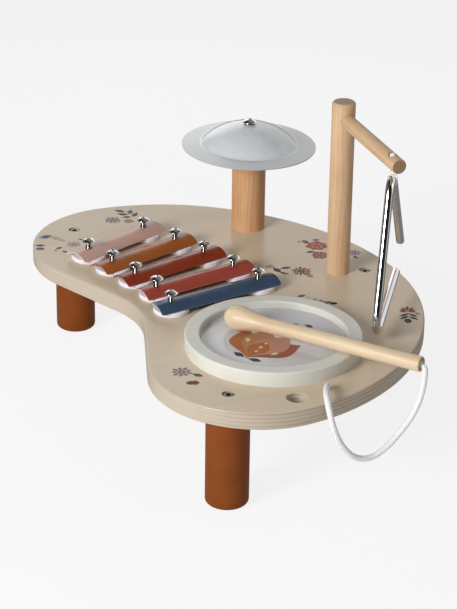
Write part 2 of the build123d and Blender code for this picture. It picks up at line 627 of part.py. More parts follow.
def make_mallet():
    """Turned from one piece: ball head, waisted neck and plain handle."""
    head = MALLET_HEAD_DIAMETER / 2
    handle = MALLET_HANDLE_DIAMETER / 2
    near_pull, far_pull = MALLET_NECK_PULLS
    nose = Bezier((-MALLET_NOSE, 0, 0), (-MALLET_NOSE, 0, head * MALLET_NOSE_PULL),
                  (-MALLET_NOSE * MALLET_NOSE_PULL, 0, head), (0, 0, head))
    neck = Bezier((0, 0, head), (MALLET_NECK * near_pull, 0, head),
                  (MALLET_NECK * (1 - far_pull), 0, handle), (MALLET_NECK, 0, handle))
    rest = Polyline((MALLET_NECK, 0, handle), (MALLET_REACH, 0, handle), (MALLET_REACH, 0, 0),
                    (-MALLET_NOSE, 0, 0))
    mallet = revolve(make_face(Wire([nose, neck, *rest.edges()])), Axis.X)
    mallet = fillet(mallet.edges().sort_by(Axis.X)[-1], MALLET_END_ROUND)
    return mallet_frame() * (mallet - handle_core(MALLET_CORD_HOLE_DIAMETER))


def handle_core(diameter):
    """Round bar as deep as the hole in the handle's end."""
    core = Cylinder(diameter / 2, MALLET_CORD_HOLE_DEPTH, align=TOP)
    return Pos(MALLET_REACH, 0, 0) * Rot(0, 90, 0) * core


def make_mallet_cord_tail():
    return mallet_frame() * handle_core(CORD_DIAMETER)


def tube(points, diameter):
    """Straight runs joined by tangent arcs, each as large as its two runs allow."""
    corners = [Vector(*point) for point in points]
    runs = [b - a for a, b in zip(corners, corners[1:])]
    radii = []
    for first, second in zip(runs, runs[1:]):
        half_turn = math.radians(first.get_angle(second)) / 2
        radii.append(CORD_ARC_SHARE * min(first.length, second.length) / math.tan(half_turn))
    print("cord radii", [round(radius, 1) for radius in radii])
    path = FilletPolyline(*corners, radius=radii)
    section = Plane(origin=path @ 0, z_dir=path % 0) * Circle(diameter / 2)
    solid = sweep(section, path=path)
    area = math.pi * diameter**2 / 4
    print("cord length", round(path.length, 1), "volume", round(solid.volume, 1),
          "section x length", round(area * path.length, 1))
    return solid


def make_mallet_cord():
    cord = tube(CORD_POINTS, CORD_DIAMETER)
    end = cord.faces().sort_by_distance(CORD_POINTS[-1])[0]
    return chamfer(end.edges(), CORD_END_TAPER)


def make_cord_knot():
    """Knot under the tabletop, with the cord's end standing up in its hole."""
    low = LEG_LENGTH - CLEAR - CORD_KNOT_DIAMETER / 2
    knot = Pos(0, 0, low) * Sphere(CORD_KNOT_DIAMETER / 2)
    knot += rod(CORD_DIAMETER / 2, low, TOP_Z - CORD_START_DEPTH)
    return Pos(*CORD_HOLE) * knot


def main():
    nodes = {
        "tabletop": make_tabletop(),
        "leg_bolts": at_legs(make_leg_bolt()),
        "leg_inserts": at_legs(make_leg_insert()),
        "tall_post": make_tall_post(),
        "tall_post_screw": Pos(*TALL_POST) * make_post_screw(),
        "triangle_arm": make_triangle_arm(),
        "triangle": make_triangle(),
        "triangle_loop": make_triangle_loop(),
        "triangle_knot": make_triangle_knot(),
        "cymbal_post": make_cymbal_post(),
        "cymbal_post_screw": Pos(*CYMBAL_POST) * make_post_screw(),
        "cymbal_felt": make_cymbal_felt(),
        "cymbal": make_cymbal(),
        "cymbal_washer": make_cymbal_washer(),
        "cymbal_screw": make_cymbal_screw(),
        "drum_ring": make_drum_ring(),
        "drumhead": make_drumhead(),
        "drum_hoop": make_drum_hoop(),
        "drum_screws": make_drum_screws(),
        "bar_pads": make_bar_pads(),
        "bar_screws": make_bar_screws(),
        "mallet": make_mallet(),
        "mallet_cord_tail": make_mallet_cord_tail(),
        "mallet_cord": make_mallet_cord(),
        "cord_knot": make_cord_knot(),
    }
    for name, place in LEG_PLACES.items():
        nodes[f"leg_{name}"] = Pos(*place) * make_leg()
    for number, bar in enumerate(BARS, start=1):
        nodes[f"bar_{number}"] = make_bar(*bar)

    os.makedirs("parts", exist_ok=True)
    for name, shape in nodes.items():
        shape.label = name
        export_step(shape, f"parts/{name}.step")


main()
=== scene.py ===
import math

import bmesh
import bpy
from bpy.props import FloatProperty, FloatVectorProperty, IntProperty, PointerProperty
from mathutils import Euler, Matrix, Vector


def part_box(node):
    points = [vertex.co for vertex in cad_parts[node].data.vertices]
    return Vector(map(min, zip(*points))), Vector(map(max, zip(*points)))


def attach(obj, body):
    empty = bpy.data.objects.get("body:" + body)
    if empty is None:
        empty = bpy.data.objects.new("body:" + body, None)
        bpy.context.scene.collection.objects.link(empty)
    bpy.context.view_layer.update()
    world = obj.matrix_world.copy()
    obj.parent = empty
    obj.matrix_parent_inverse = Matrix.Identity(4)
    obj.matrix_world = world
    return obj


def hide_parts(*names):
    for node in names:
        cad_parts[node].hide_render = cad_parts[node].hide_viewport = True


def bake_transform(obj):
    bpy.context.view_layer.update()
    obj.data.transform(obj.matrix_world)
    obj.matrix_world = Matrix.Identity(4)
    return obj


# Musical activity table for small children: plywood top on three painted legs, with five
# chime bars, a cymbal, a triangle on its arm, a drum and a mallet on a cord.

bl_info = {
    "name": "Musical activity table",
    "version": (1, 0, 0),
    "blender": (4, 5, 0),
    "location": "View3D > Sidebar > Music table",
    "description": "Dresses the table's frame with its woods, paints, metals, felts and cords",
    "category": "Object",
}

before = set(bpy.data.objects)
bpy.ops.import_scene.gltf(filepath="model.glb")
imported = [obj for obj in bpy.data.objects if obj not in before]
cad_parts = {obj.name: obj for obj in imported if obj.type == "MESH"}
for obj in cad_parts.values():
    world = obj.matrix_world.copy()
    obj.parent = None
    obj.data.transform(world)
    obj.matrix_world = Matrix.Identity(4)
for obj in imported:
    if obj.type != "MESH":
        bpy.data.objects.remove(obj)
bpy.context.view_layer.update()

MM = 0.001
TABLE_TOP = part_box("tabletop")[1][2]
TABLE_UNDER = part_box("tabletop")[0][2]
PLY_THICKNESS = TABLE_TOP - TABLE_UNDER


def middle_of(node):
    low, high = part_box(node)
    return (Vector(low) + Vector(high)) / 2


def paint_rgb(red, green, blue):
    """Linear colour from the 0 to 255 values of a colour chart."""
    shares = [value / 255 for value in (red, green, blue)]
    return tuple(share / 12.92 if share <= 0.04045 else ((share + 0.055) / 1.055) ** 2.4
                 for share in shares)


def toned(colour, factor, lift=0.0):
    """The same colour, darker or paler."""
    return tuple(min(1.0, value * factor + lift) for value in colour)


def colour_field(name, use, value):
    return FloatVectorProperty(name=name, description=use, default=paint_rgb(*value), size=3,
                               min=0.0, max=1.0, subtype="COLOR")


def length_field(name, use, millimetres):
    return FloatProperty(name=name, description=use, default=millimetres * MM, min=0.0,
                         unit="LENGTH", precision=4)


# Routes of the two cords, in metres

MALLET_CORD_ROUTE = [
    (0.1882, -0.0196, 0.0880), (0.1882, -0.0196, 0.0960), (0.1904, -0.0209, 0.0992),
    (0.1965, -0.0246, 0.1014), (0.2043, -0.0292, 0.1023), (0.2110, -0.0320, 0.1017),
    (0.2186, -0.0344, 0.0982), (0.2224, -0.0339, 0.0892), (0.2228, -0.0307, 0.0785),
    (0.2217, -0.0264, 0.0687), (0.2206, -0.0203, 0.0584), (0.2202, -0.0126, 0.0499),
    (0.2196, -0.0034, 0.0451), (0.2186, 0.0071, 0.0444), (0.2174, 0.0177, 0.0488),
    (0.2165, 0.0272, 0.0558), (0.2159, 0.0366, 0.0653), (0.2157, 0.0431, 0.0744),
    (0.2160, 0.0473, 0.0845), (0.2165, 0.0493, 0.0942), (0.2172, 0.0498, 0.1024),
    (0.2180, 0.0497, 0.1090), (0.2175, 0.0493, 0.1138), (0.2156, 0.0481, 0.1154),
]
MALLET_DIRECTION = math.radians(33.8)

# The triangle's loop, as (across the rod, above the rod's centre)
LOOP_ROUTE = [
    (0.00075, 0.01785), (0.00075, 0.01390), (0.00075, 0.00990), (0.00504, -0.00027),
    (0.00260, -0.00450), (-0.00260, -0.00450), (-0.00504, -0.00027), (-0.00075, 0.00990),
    (-0.00075, 0.01390), (-0.00075, 0.01785),
]
HANG_PLACE = Vector((0.097005, 0.080262, 0.0))  # under the arm's hole
TRIANGLE_DIRECTION = math.radians(-37.35)
ROD_RADIUS = 3.5 * MM
LOOP_PLAY = 0.3 * MM       # the loop's gap under the rod

# Sizes in metres and bearings in degrees from +X

BARS = ["bar_%d" % number for number in range(1, 6)]
BROKEN_EDGE = 0.45 * MM    # of a bar
PAD_RADIUS = 15.0 * MM
PAD_HOLE_RADIUS = 3.0 * MM
SHANK_RADIUS = 2.5 * MM    # of every screw that shows
BAR_HEAD_RADIUS = 5.7 * MM
BAR_HEAD_HEIGHT = 2.8 * MM
HEAD_EDGE = 0.16           # upright part of a head's edge, as a share of its height
HEAD_ROUND = 0.22 * MM
CROSS_TAPER = 0.62         # floor of the cross to its mouth
SCREW_SPREAD = 14.0 * MM   # corners nearer than this belong to one screw
DOME_RADIUS = 44.0 * MM    # of the cymbal, inside its brim
MALLET_HOLE = (0.1920, -0.0477, 0.0)
GRAIN_BEARING = 90.0       # the tabletop's grain
PLY_BEARING = 35.0         # where its layers show best on its edge
SMOOTH_ANGLE = math.radians(40.0)
CHROME = (0.86, 0.86, 0.87)
# Thread metal: chrome painted dark, as painted shade for the shade and dark reflections under a
# screw's head
SHADED_THREAD_STEEL = (0.30, 0.28, 0.26)

# Studio: the camera, the lamps as (place, size), and the dark gaps between the pale screens
# that metal reflects, as (bearing, half width, depth of the dark)

CAMERA_EYE = Vector((1.5469, -0.7390, 0.8872))
CAMERA_AIM = Vector((0.0182, -0.0261, 0.0950))
CAMERA_ROLL = math.radians(0.858)
CAMERA_LENS = 131.45
LAMPS = {
    "key": ((0.81, -1.89, 1.00), 0.8), "sheen": ((-0.83, 0.22, 0.41), 0.5),
    "fill": ((1.25, -0.60, 0.12), 0.8), "side": ((1.00, 1.30, 1.50), 0.9),
}
DARK_GAPS = [(-10.0, 51.0, 0.98), (-129.0, 45.0, 0.85)]
SCREENS_FADE = (0.58, 0.71)  # heights between which the screens fade into the ceiling
FLOOR_RADIUS = 14.0

# Prints: (motif, x and y in mm, turn in degrees, size in mm, colour)
TOP_PRINTS = [
    ("daisy", 117.3, -112.1, 10, 18.5, "plum"), ("leaf", 126.9, -103.0, 40, 11.0, "moss"),
    ("bud", 137.7, -111.8, 71, 11.5, "brick"),
    ("aster", -18.7, 60.5, 0, 19.5, "brick"), ("leaf", -8.6, 62.5, 10, 12.0, "mauve"),
    ("leaf", -30.5, 50.3, 85, 11.5, "moss"), ("leaf", -29.9, 41.8, 9, 13.0, "ink"),
    ("leaf", -22.5, 43.8, 28, 8.0, "brick"), ("oval", -19.2, 46.1, 60, 4.5, "ochre"),
    ("daisy", -38.4, 39.6, 20, 10.0, "blush"),
    ("peony", -62.6, 97.5, 0, 22.0, "coral"), ("peony", -43.0, 91.0, 40, 18.0, "rosewood"),
    ("bud", -74.6, 91.9, 190, 9.0, "coral"), ("oval", -77.3, 86.8, 0, 3.0, "brick"),
    ("leaf", -52.9, 85.5, 85, 9.0, "ink"), ("leaf", -75.0, 102.0, 75, 8.5, "slate"),
    ("daisy", -36.5, 121.0, 25, 14.0, "plum"), ("leaf", -27.7, 117.6, 12, 8.0, "slate"),
    ("leaf", 26.8, 37.4, 97, 9.5, "moss"), ("oval", 31.3, 41.5, 0, 2.4, "blush"),
    ("leaf", 37.0, 45.4, 36, 4.0, "ink"), ("leaf", 41.4, 48.6, 40, 4.6, "ink"),
    ("leaf", 44.6, 50.2, 60, 5.0, "moss"), ("leaf", 47.3, 52.4, 115, 8.0, "moss"),
    ("oval", 50.7, 56.0, 67, 6.6, "soot"),
    ("fan", 89.2, 105.7, 154, 13.5, "brick"), ("leaf", 95.6, 111.4, 15, 8.0, "mauve"),
    ("blade", 93.9, 99.5, 99, 11.5, "soot"), ("blade", 96.8, 106.3, 27, 11.0, "soot"),
    ("blade", 98.4, 97.2, 106, 11.5, "soot"), ("blade", 101.7, 104.0, 24, 11.5, "soot"),
    ("oval", 105.0, 97.5, 154, 8.5, "ink"),
    ("daisy", -187.2, -47.9, 0, 16.5, "plum"), ("daisy", -179.1, -35.2, 20, 10.8, "ochre"),
    ("leaf", -204.8, -34.3, 42, 11.5, "moss"), ("leaf", -196.6, -34.8, 54, 12.0, "moss"),
    ("leaf", -188.9, -33.8, 74, 10.0, "moss"), ("leaf", -198.9, -25.9, -29, 12.0, "slate"),
    ("leaf", -191.5, -24.0, -44, 11.5, "moss"),
    ("leaf", -175.5, -117.4, 82, 13.5, "slate"), ("leaf", -172.4, -119.8, 80, 10.5, "sky"),
    ("sprig", -166.6, -109.0, 26, 16.0, "mauve"), ("leaf", -158.8, -128.8, 67, 10.0, "ink"),
    ("oval", -151.8, -131.0, 67, 8.0, "slate"), ("leaf", -146.8, -115.4, 101, 7.5, "soot"),
    ("leaf", -143.1, -119.8, 114, 4.0, "ink"), ("daisy", -149.4, -100.3, 0, 14.5, "rose"),
    ("leaf", -157.5, -90.7, 60, 5.5, "ink"), ("leaf", -137.8, -113.4, 29, 7.0, "ink"),
]

# The drum's picture is a folk tulip: petals from one foot, dots on them and leaves beside it
TULIP_FOOT = (126.0, -60.5)
TULIP_WAY = 124
DRUM_PRINTS = [
    ("petal", *TULIP_FOOT, TULIP_WAY + 31, 52.0, "terracotta"),
    ("petal", *TULIP_FOOT, TULIP_WAY - 31, 50.0, "rust"),
    ("petal", *TULIP_FOOT, TULIP_WAY + 11, 55.0, "tan"),
    ("petal", *TULIP_FOOT, TULIP_WAY - 12, 53.0, "blush"),
    ("petal", *TULIP_FOOT, TULIP_WAY, 34.0, "terracotta"),
    ("oval", 118.5, -48.0, 124, 3.4, "cream"), ("oval", 113.5, -41.5, 124, 4.2, "cream"),
    ("oval", 108.9, -34.6, 124, 3.4, "cream"),
    ("leaf", 97.5, -45.5, 152, 9.0, "cream"), ("leaf", 128.6, -37.0, 96, 8.0, "cream"),
    ("leaf", 131.7, -55.9, 39, 13.0, "ink"), ("leaf", 119.0, -62.7, 198, 13.0, "ink"),
    ("leaf", 93.4, 11.3, 20, 9.5, "ink"), ("leaf", 85.9, 3.0, 74, 6.0, "slate"),
]


class MusicTableColours(bpy.types.PropertyGroup):
    """Colours that a maker would change."""

    ply_pale: colour_field("Birch, pale", "Pale wood of the plywood's faces", (220, 202, 178))
    ply_deep: colour_field("Birch, deep", "Deep streaks of the plywood's faces", (206, 185, 156))
    edge_pale: colour_field("Ply edge, pale", "Long-grain plies on the edge", (199, 185, 167))
    edge_deep: colour_field("Ply edge, deep", "End-grain plies on the edge", (160, 138, 112))
    beech_pale: colour_field("Beech, pale", "Pale wood of the cymbal's post", (220, 173, 130))
    beech_deep: colour_field("Beech, deep", "Deep streaks of the cymbal's post", (193, 143, 98))
    arm_pale: colour_field("Arm, pale", "Pale wood of the triangle's post", (220, 187, 151))
    arm_deep: colour_field("Arm, deep", "Deep streaks of that post", (197, 160, 121))
    mallet_pale: colour_field("Mallet, pale", "Pale wood of the mallet", (228, 208, 177))
    mallet_deep: colour_field("Mallet, deep", "Deep streaks of the mallet", (205, 172, 132))
    legs: colour_field("Legs", "Paint of the legs", (128, 66, 20))
    ring: colour_field("Drum ring", "Paint of the drum's ring", (219, 219, 210))
    skin: colour_field("Drumhead", "Sheet of the drum", (204, 203, 205))
    bar_1: colour_field("Bar 1", "Paint of the shortest bar", (209, 170, 155))
    bar_2: colour_field("Bar 2", "Paint of the second bar", (164, 90, 34))
    bar_3: colour_field("Bar 3", "Paint of the third bar", (140, 50, 16))
    bar_4: colour_field("Bar 4", "Paint of the fourth bar", (164, 68, 54))
    bar_5: colour_field("Bar 5", "Paint of the longest bar", (54, 74, 100))
    felt: colour_field("Felt", "Felt discs under the bars", (250, 246, 255))
    cord: colour_field("Cord", "Braided cord of the mallet", (250, 250, 251))
    plum: colour_field("Print, plum", "Violet flowers", (144, 116, 132))
    coral: colour_field("Print, coral", "Large flowers", (172, 100, 80))
    rosewood: colour_field("Print, rosewood", "Deeper large flowers", (160, 96, 88))
    brick: colour_field("Print, brick", "Red flowers", (128, 72, 64))
    rose: colour_field("Print, rose", "Pale flowers", (180, 148, 148))
    blush: colour_field("Print, blush", "Pink petals", (190, 142, 118))
    mauve: colour_field("Print, mauve", "Grey-violet leaves", (158, 140, 140))
    ochre: colour_field("Print, ochre", "Small buds", (150, 118, 92))
    moss: colour_field("Print, moss", "Grey-green leaves", (92, 92, 74))
    ink: colour_field("Print, ink", "Dark leaves", (60, 66, 66))
    soot: colour_field("Print, soot", "Nearly black marks", (12, 16, 14))
    slate: colour_field("Print, slate", "Blue-grey leaves", (98, 110, 120))
    sky: colour_field("Print, sky", "Pale blue leaves", (170, 180, 190))
    terracotta: colour_field("Print, terracotta", "Tulip on the drum", (176, 108, 66))
    tan: colour_field("Print, tan", "Tulip's second petal", (184, 130, 92))
    rust: colour_field("Print, rust", "Tulip's outer petal", (158, 92, 66))
    cream: colour_field("Print, cream", "Dots on the tulip", (214, 202, 178))


class MusicTableSizes(bpy.types.PropertyGroup):
    """Sizes that a maker would change."""

    cord: length_field("Cord", "Diameter of the mallet's cord", 4.8)
    loop: length_field("Loop", "Diameter of the cord that carries the triangle", 1.4)
    cross_width: length_field("Cross width", "Slot width of the cross in a screw's head", 1.25)
    cross_reach: length_field("Cross reach", "Centre to the tip of a slot", 2.9)
    cross_depth: length_field("Cross depth", "Depth of the cross", 1.5)
    pitch: length_field("Thread pitch", "Rise of a screw's thread in one turn", 0.8)
    thread: length_field("Thread depth", "Depth of a screw's thread", 0.25)
    felt_round: length_field("Felt edge", "Rounding of a felt disc's edge", 0.9)
    print_rise: length_field("Print thickness", "Thickness of a printed motif", 0.03)
    plies: IntProperty(name="Plies", description="Layers in the tabletop", default=9, min=3,
                       max=15)


class MusicTableLight(bpy.types.PropertyGroup):
    """Studio light and floor."""

    room: FloatProperty(name="Room light", description="Even light from all round",
                        default=0.25, min=0.0, max=2.0)
    key: FloatProperty(name="Key light", description="Large soft lamp in front", default=39.5,
                       min=0.0, max=200.0, unit="POWER")
    sheen: FloatProperty(name="Sheen light", description="Small lamp behind the bars' end",
                         default=0.35, min=0.0, max=200.0, unit="POWER")
    fill: FloatProperty(name="Fill light", description="Faint broad lamp beside the camera",
                        default=0.9, min=0.0, max=200.0, unit="POWER")
    side: FloatProperty(name="Side light", description="Soft lamp high beyond the drum's end",
                        default=2.5, min=0.0, max=200.0, unit="POWER")
    floor: FloatProperty(name="Floor", description="Paleness of the floor", default=0.98,
                         min=0.0, max=1.0)
    shadow: FloatProperty(name="Shadow", description="How strongly the floor shows its shadow",
                          default=0.15, min=0.0, max=1.0, subtype="FACTOR")
    mirrored: FloatProperty(name="Mirrored floor", description="Paleness of the floor in metal",
                            default=0.26, min=0.0, max=1.0, subtype="FACTOR")
    low_screen: FloatProperty(name="Low screens", description="Paleness that metal reflects",
                              default=0.95, min=0.0, max=2.0)
    ceiling: FloatProperty(name="Ceiling", description="The same, from overhead", default=0.17,
                           min=0.0, max=2.0)


class MusicTable(bpy.types.PropertyGroup):
    """All the settings of the musical activity table."""

    colours: PointerProperty(type=MusicTableColours)
    sizes: PointerProperty(type=MusicTableSizes)
    light: PointerProperty(type=MusicTableLight)


def settings():
    return bpy.context.scene.music_table


def colour_of(name):
    return tuple(getattr(settings().colours, name))


def woods(name):
    """The pale and the deep colour of a wood."""
    return colour_of(name + "_pale"), colour_of(name + "_deep")


# Finishes

class Nodes:
    """A node tree. Each method adds a node and gives back the output to wire on."""

    def __init__(self, tree):
        self.tree = tree

    def wire(self, node, socket, value):
        if isinstance(value, bpy.types.NodeSocket):
            self.tree.links.new(value, node.inputs[socket])
        elif isinstance(value, tuple) and node.inputs[socket].type == "RGBA":
            node.inputs[socket].default_value = (*value, 1)[:4]
        else:
            node.inputs[socket].default_value = value

    def add(self, kind, inputs, output=0, **options):
        node = self.tree.nodes.new("ShaderNode" + kind)
        for option, value in options.items():
            setattr(node, option, value)
        for socket, value in inputs.items():
            self.wire(node, socket, value)
        return node.outputs[output]

    def place(self, size=(1, 1, 1), turn=(0, 0, 0), about=(0, 0, 0)):
        """The piece's own coordinates, counted in steps of size from a point."""
        own = self.add("TexCoord", {}, "Object")
        return self.add("Mapping", {"Vector": own, "Location": about, "Rotation": turn,
                                    "Scale": size}, vector_type="TEXTURE")

    def noise(self, size, turn=(0, 0, 0), about=(0, 0, 0), detail=2.0, rough=0.5):
        """Cloudy values. size is the length of a cloud, or its three lengths."""
        if isinstance(size, float):
            size = (size, size, size)
        return self.add("TexNoise", {"Vector": self.place(size, turn, about), "Scale": 1.0,
                                     "Detail": detail, "Roughness": rough}, "Fac")

    def split(self, vector, axis):
        return self.add("SeparateXYZ", {"Vector": vector}, axis)

    def math(self, operation, first, second=0.0):
        return self.add("Math", {0: first, 1: second}, operation=operation)

    def plus(self, first, second):
        return self.math("ADD", first, second)

    def times(self, first, second):
        return self.math("MULTIPLY", first, second)

    def away(self, value, middle):
        """How far a value lies from a middle."""
        return self.math("ABSOLUTE", self.math("SUBTRACT", value, middle))

    def distance(self, here, axes):
        """Distance from a line, from the two coordinates of a place that lie across it."""
        first, second = [self.times(self.split(here, axis), self.split(here, axis))
                         for axis in axes]
        return self.math("SQRT", self.plus(first, second))

    def along(self, direction):
        """1 where the surface faces a direction, -1 where it faces away from it."""
        faces = self.add("TexCoord", {}, "Normal")
        return self.add("VectorMath", {0: faces, 1: tuple(direction)}, "Value",
                        operation="DOT_PRODUCT")

    def facing(self, turn):
        """1 where the surface faces along the grain, 0 where it faces across it."""
        return self.math("ABSOLUTE", self.along(Euler(turn).to_matrix() @ Vector((1, 0, 0))))

    def spread(self, value, low, high, to_low=0.0, to_high=1.0):
        """Values between low and high, spread out to the new range and held at its ends."""
        return self.add("MapRange", {"Value": value, "From Min": low, "From Max": high,
                                     "To Min": to_low, "To Max": to_high})

    def blend(self, amount, first, second):
        return self.add("Mix", {0: amount, 6: first, 7: second}, 2, data_type="RGBA")

    def relief(self, height, depth, under=None):
        inputs = {"Height": height, "Distance": depth, "Strength": 1.0}
        if under is not None:
            inputs["Normal"] = under
        return self.add("Bump", inputs)

    def ray(self, *kinds):
        """1 for light paths of these kinds, 0 for the others."""
        path = self.tree.nodes.new("ShaderNodeLightPath")
        total = path.outputs[kinds[0]]
        for kind in kinds[1:]:
            total = self.plus(total, path.outputs[kind])
        return total

    def seen(self):
        """1 where the camera, a mirror or a glass looks straight at the surface."""
        looks = self.ray("Is Camera Ray", "Is Glossy Ray", "Is Transmission Ray")
        return self.math("MINIMUM", looks, 1.0)


class Finish(Nodes):
    """A material with one shader, whose sockets show() sets."""

    def __init__(self, name, **sockets):
        self.material = bpy.data.materials.new(name)
        self.material.use_nodes = True
        super().__init__(self.material.node_tree)
        self.shader = self.tree.nodes["Principled BSDF"]
        self.show(**sockets)

    def show(self, **sockets):
        for socket, value in sockets.items():
            self.wire(self.shader, socket.replace("_", " "), value)
        return self.material


def wood_figure(finish, turn, heart, ring, seed=0.0):
    """Growth rings, long fibres and short flecks, as three values, with the grain along X."""
    wander = finish.noise((0.11, 0.03, 0.03), turn, (seed, seed, 0), detail=1.0)
    radius = finish.distance(finish.place((1, 1, 1), turn, heart), "YZ")
    wavy = finish.plus(radius, finish.times(wander, 2.5 * ring))
    turns = finish.times(wavy, 2 * math.pi / ring)
    rings = finish.spread(finish.math("SINE", turns), -1.0, 1.0)
    fibres = finish.noise((0.02, 0.0005, 0.0005), turn, (seed, 0, 0), detail=3.0, rough=0.6)
    flecks = finish.noise((0.0022, 0.00042, 0.00042), turn, (0, seed, 0), detail=1.0)
    return rings, fibres, finish.spread(flecks, 0.64, 0.74)


def wood_finish(name, pale, deep, turn=(0, 0, 0), heart=(0, 0, 0), ring=0.004, streaks=1.0,
                flecks=0.35, rough=0.42, seed=0.0, sawn=0.54, coat=0.04):
    """Turned or planed wood under a thin satin varnish, darkened to sawn where its grain ends."""
    finish = Finish(name, Coat_Weight=coat, Coat_Roughness=0.3, Specular_IOR_Level=0.2)
    rings, fibres, specks = wood_figure(finish, turn, heart, ring, seed)
    cloud = finish.noise((0.05, 0.012, 0.012), turn, (seed, 0, seed))
    lean = finish.plus(finish.times(rings, 0.30 * streaks), finish.times(fibres, 0.75 * streaks))
    lean = finish.plus(lean, finish.spread(cloud, 0.3, 0.7, -0.35, 0.15))
    colour = finish.blend(finish.spread(lean, 0.05, 0.95), pale, deep)
    colour = finish.blend(finish.times(specks, flecks), colour, toned(deep, 0.62))
    ends = finish.spread(finish.facing(turn), 0.72, 0.95, 0.0, 0.8)
    pores = finish.noise(0.0005)
    cut = finish.blend(finish.spread(pores, 0.4, 0.7), toned(deep, sawn),
                       toned(deep, sawn * 0.64))
    return finish.show(Base_Color=finish.blend(ends, colour, cut),
                       Roughness=finish.spread(fibres, 0.3, 0.7, rough - 0.05, rough + 0.07),
                       Normal=finish.relief(fibres, 0.00006))


def paint_finish(name, colour, rough=0.4, coat=0.3, shine=0.3, wear=0.05, grain=None, ends=None,
                 veil=0.18):
    """Sprayed paint: a faint orange peel, slight unevenness and grain where wood is under it.

    ends gives a bar's bearing and a pale colour for its two cut ends, a painted highlight; veil
    is how rough its gloss is.
    """
    finish = Finish(name, Coat_Weight=coat, Coat_Roughness=veil, Specular_IOR_Level=shine)
    cloud = finish.noise(0.018, detail=3.0)
    dark = toned(colour, 1 - wear)
    shade = finish.blend(finish.spread(cloud, 0.3, 0.7), dark, toned(colour, 1 + wear, 0.004))
    bump = finish.relief(finish.noise(0.0011), 0.000025)
    if grain is not None:
        ribs = finish.noise(grain, detail=3.0, rough=0.6)
        shade = finish.blend(finish.spread(ribs, 0.5, 0.75, 0.0, 0.35), shade, dark)
        bump = finish.relief(ribs, 0.00007, bump)
    if ends is not None:
        # Painted highlight: the ends, facing along the bar, take the pale colour that stands in
        # for the light they catch
        bearing, pale = ends
        cut = finish.spread(finish.facing((0, 0, bearing)), 0.75, 0.95)
        shade = finish.blend(cut, shade, pale)
    gloss = finish.spread(cloud, 0.3, 0.7, rough - 0.04, rough + 0.06)
    return finish.show(Base_Color=shade, Roughness=gloss, Normal=bump)


def metal_finish(name, colour, rough=0.12, marks=0.04, lines=None, metal=1.0, coat=0.0,
                 dome=0.0):
    """Plated metal with faint smears in its shine, and lathe lines where lines gives a centre.

    dome is the radius about that centre beyond which the metal is painted darker, a painted shade
    for the brim's dimmer reflections.
    """
    finish = Finish(name, Metallic=metal, Coat_Weight=coat, Coat_Roughness=0.12)
    smear = finish.noise(0.009, detail=4.0, rough=0.6)
    shade = finish.blend(finish.spread(smear, 0.3, 0.7), toned(colour, 0.93), colour)
    scratch = finish.noise((0.0025, 0.0004, 0.0025))
    bump = finish.relief(scratch, 0.00012 * marks)
    if lines is not None:
        radius = finish.distance(finish.place(about=lines), "XY")
        ridges = finish.add("TexNoise", {"W": finish.times(radius, 2600.0), "Detail": 1.0},
                            "Fac", noise_dimensions="1D")
        bump = finish.relief(ridges, 0.00002, bump)
        # Painted shade: past the dome the colour is darkened, standing in for the dimmer light
        # the brim reflects
        brim = finish.spread(radius, dome, dome + 0.0008)
        shade = finish.blend(brim, shade, toned(colour, 0.69))
    gloss = finish.spread(smear, 0.3, 0.7, rough, rough + marks)
    return finish.show(Base_Color=shade, Roughness=gloss, Normal=bump)


def screw_metals(name):
    """Metals of a cross-head screw: its bright head, and a darker copy for its thread that paints
    in the shade and dark reflections under the head.
    """
    return [metal_finish(name + " chrome", CHROME, 0.08, 0.05),
            metal_finish(name + " thread", SHADED_THREAD_STEEL, 0.1, 0.05)]


def felt_finish(name, colour):
    """Pressed wool: matt, with a soft fuzz of short fibres."""
    finish = Finish(name, Roughness=0.95, Sheen_Weight=0.4, Sheen_Roughness=0.5,
                    Specular_IOR_Level=0.2)
    fuzz = finish.noise(0.0006, detail=4.0, rough=0.7)
    tufts = finish.noise(0.0032)
    shade = finish.blend(finish.spread(fuzz, 0.3, 0.75), toned(colour, 0.86), colour)
    shade = finish.blend(finish.spread(tufts, 0.35, 0.65, 0.0, 0.12), shade, (0.55, 0.55, 0.6))
    bump = finish.relief(fuzz, 0.00025, finish.relief(tufts, 0.0004))
    return finish.show(Base_Color=shade, Normal=bump)


def braid_finish(name, colour, diameter, strands=8):
    """Braided cord. U runs along the cord in cord diameters and V once round it."""
    finish = Finish(name, Roughness=0.75, Sheen_Weight=0.25, Sheen_Roughness=0.4)
    uv = finish.add("TexCoord", {}, "UV")
    along = finish.times(finish.split(uv, "X"), 1.25 * math.pi)
    round_it = finish.times(finish.split(uv, "Y"), strands * math.pi)
    left, right = [finish.math("ABSOLUTE", finish.math("SINE", finish.math(way, along, round_it)))
                   for way in ("ADD", "SUBTRACT")]
    strand = finish.times(left, right)
    fray = finish.noise(0.0004, detail=3.0)
    # Painted shade: the grooves between strands are made darker than the strands
    shade = finish.blend(finish.spread(strand, 0.0, 0.35), toned(colour, 0.88), colour)
    shade = finish.blend(finish.spread(fray, 0.4, 0.8, 0.0, 0.15), shade, (0.62, 0.62, 0.64))
    bump = finish.relief(strand, 0.05 * diameter, finish.relief(fray, 0.00005))
    return finish.show(Base_Color=shade, Normal=bump)


def rubber_finish(name, colour):
    """Matt rubber with a faint grey bloom."""
    finish = Finish(name, Roughness=0.6, Specular_IOR_Level=0.4)
    bloom = finish.noise(0.004, detail=3.0)
    shade = finish.blend(finish.spread(bloom, 0.3, 0.7), colour, toned(colour, 1.6, 0.004))
    return finish.show(Base_Color=shade, Normal=finish.relief(bloom, 0.00003))


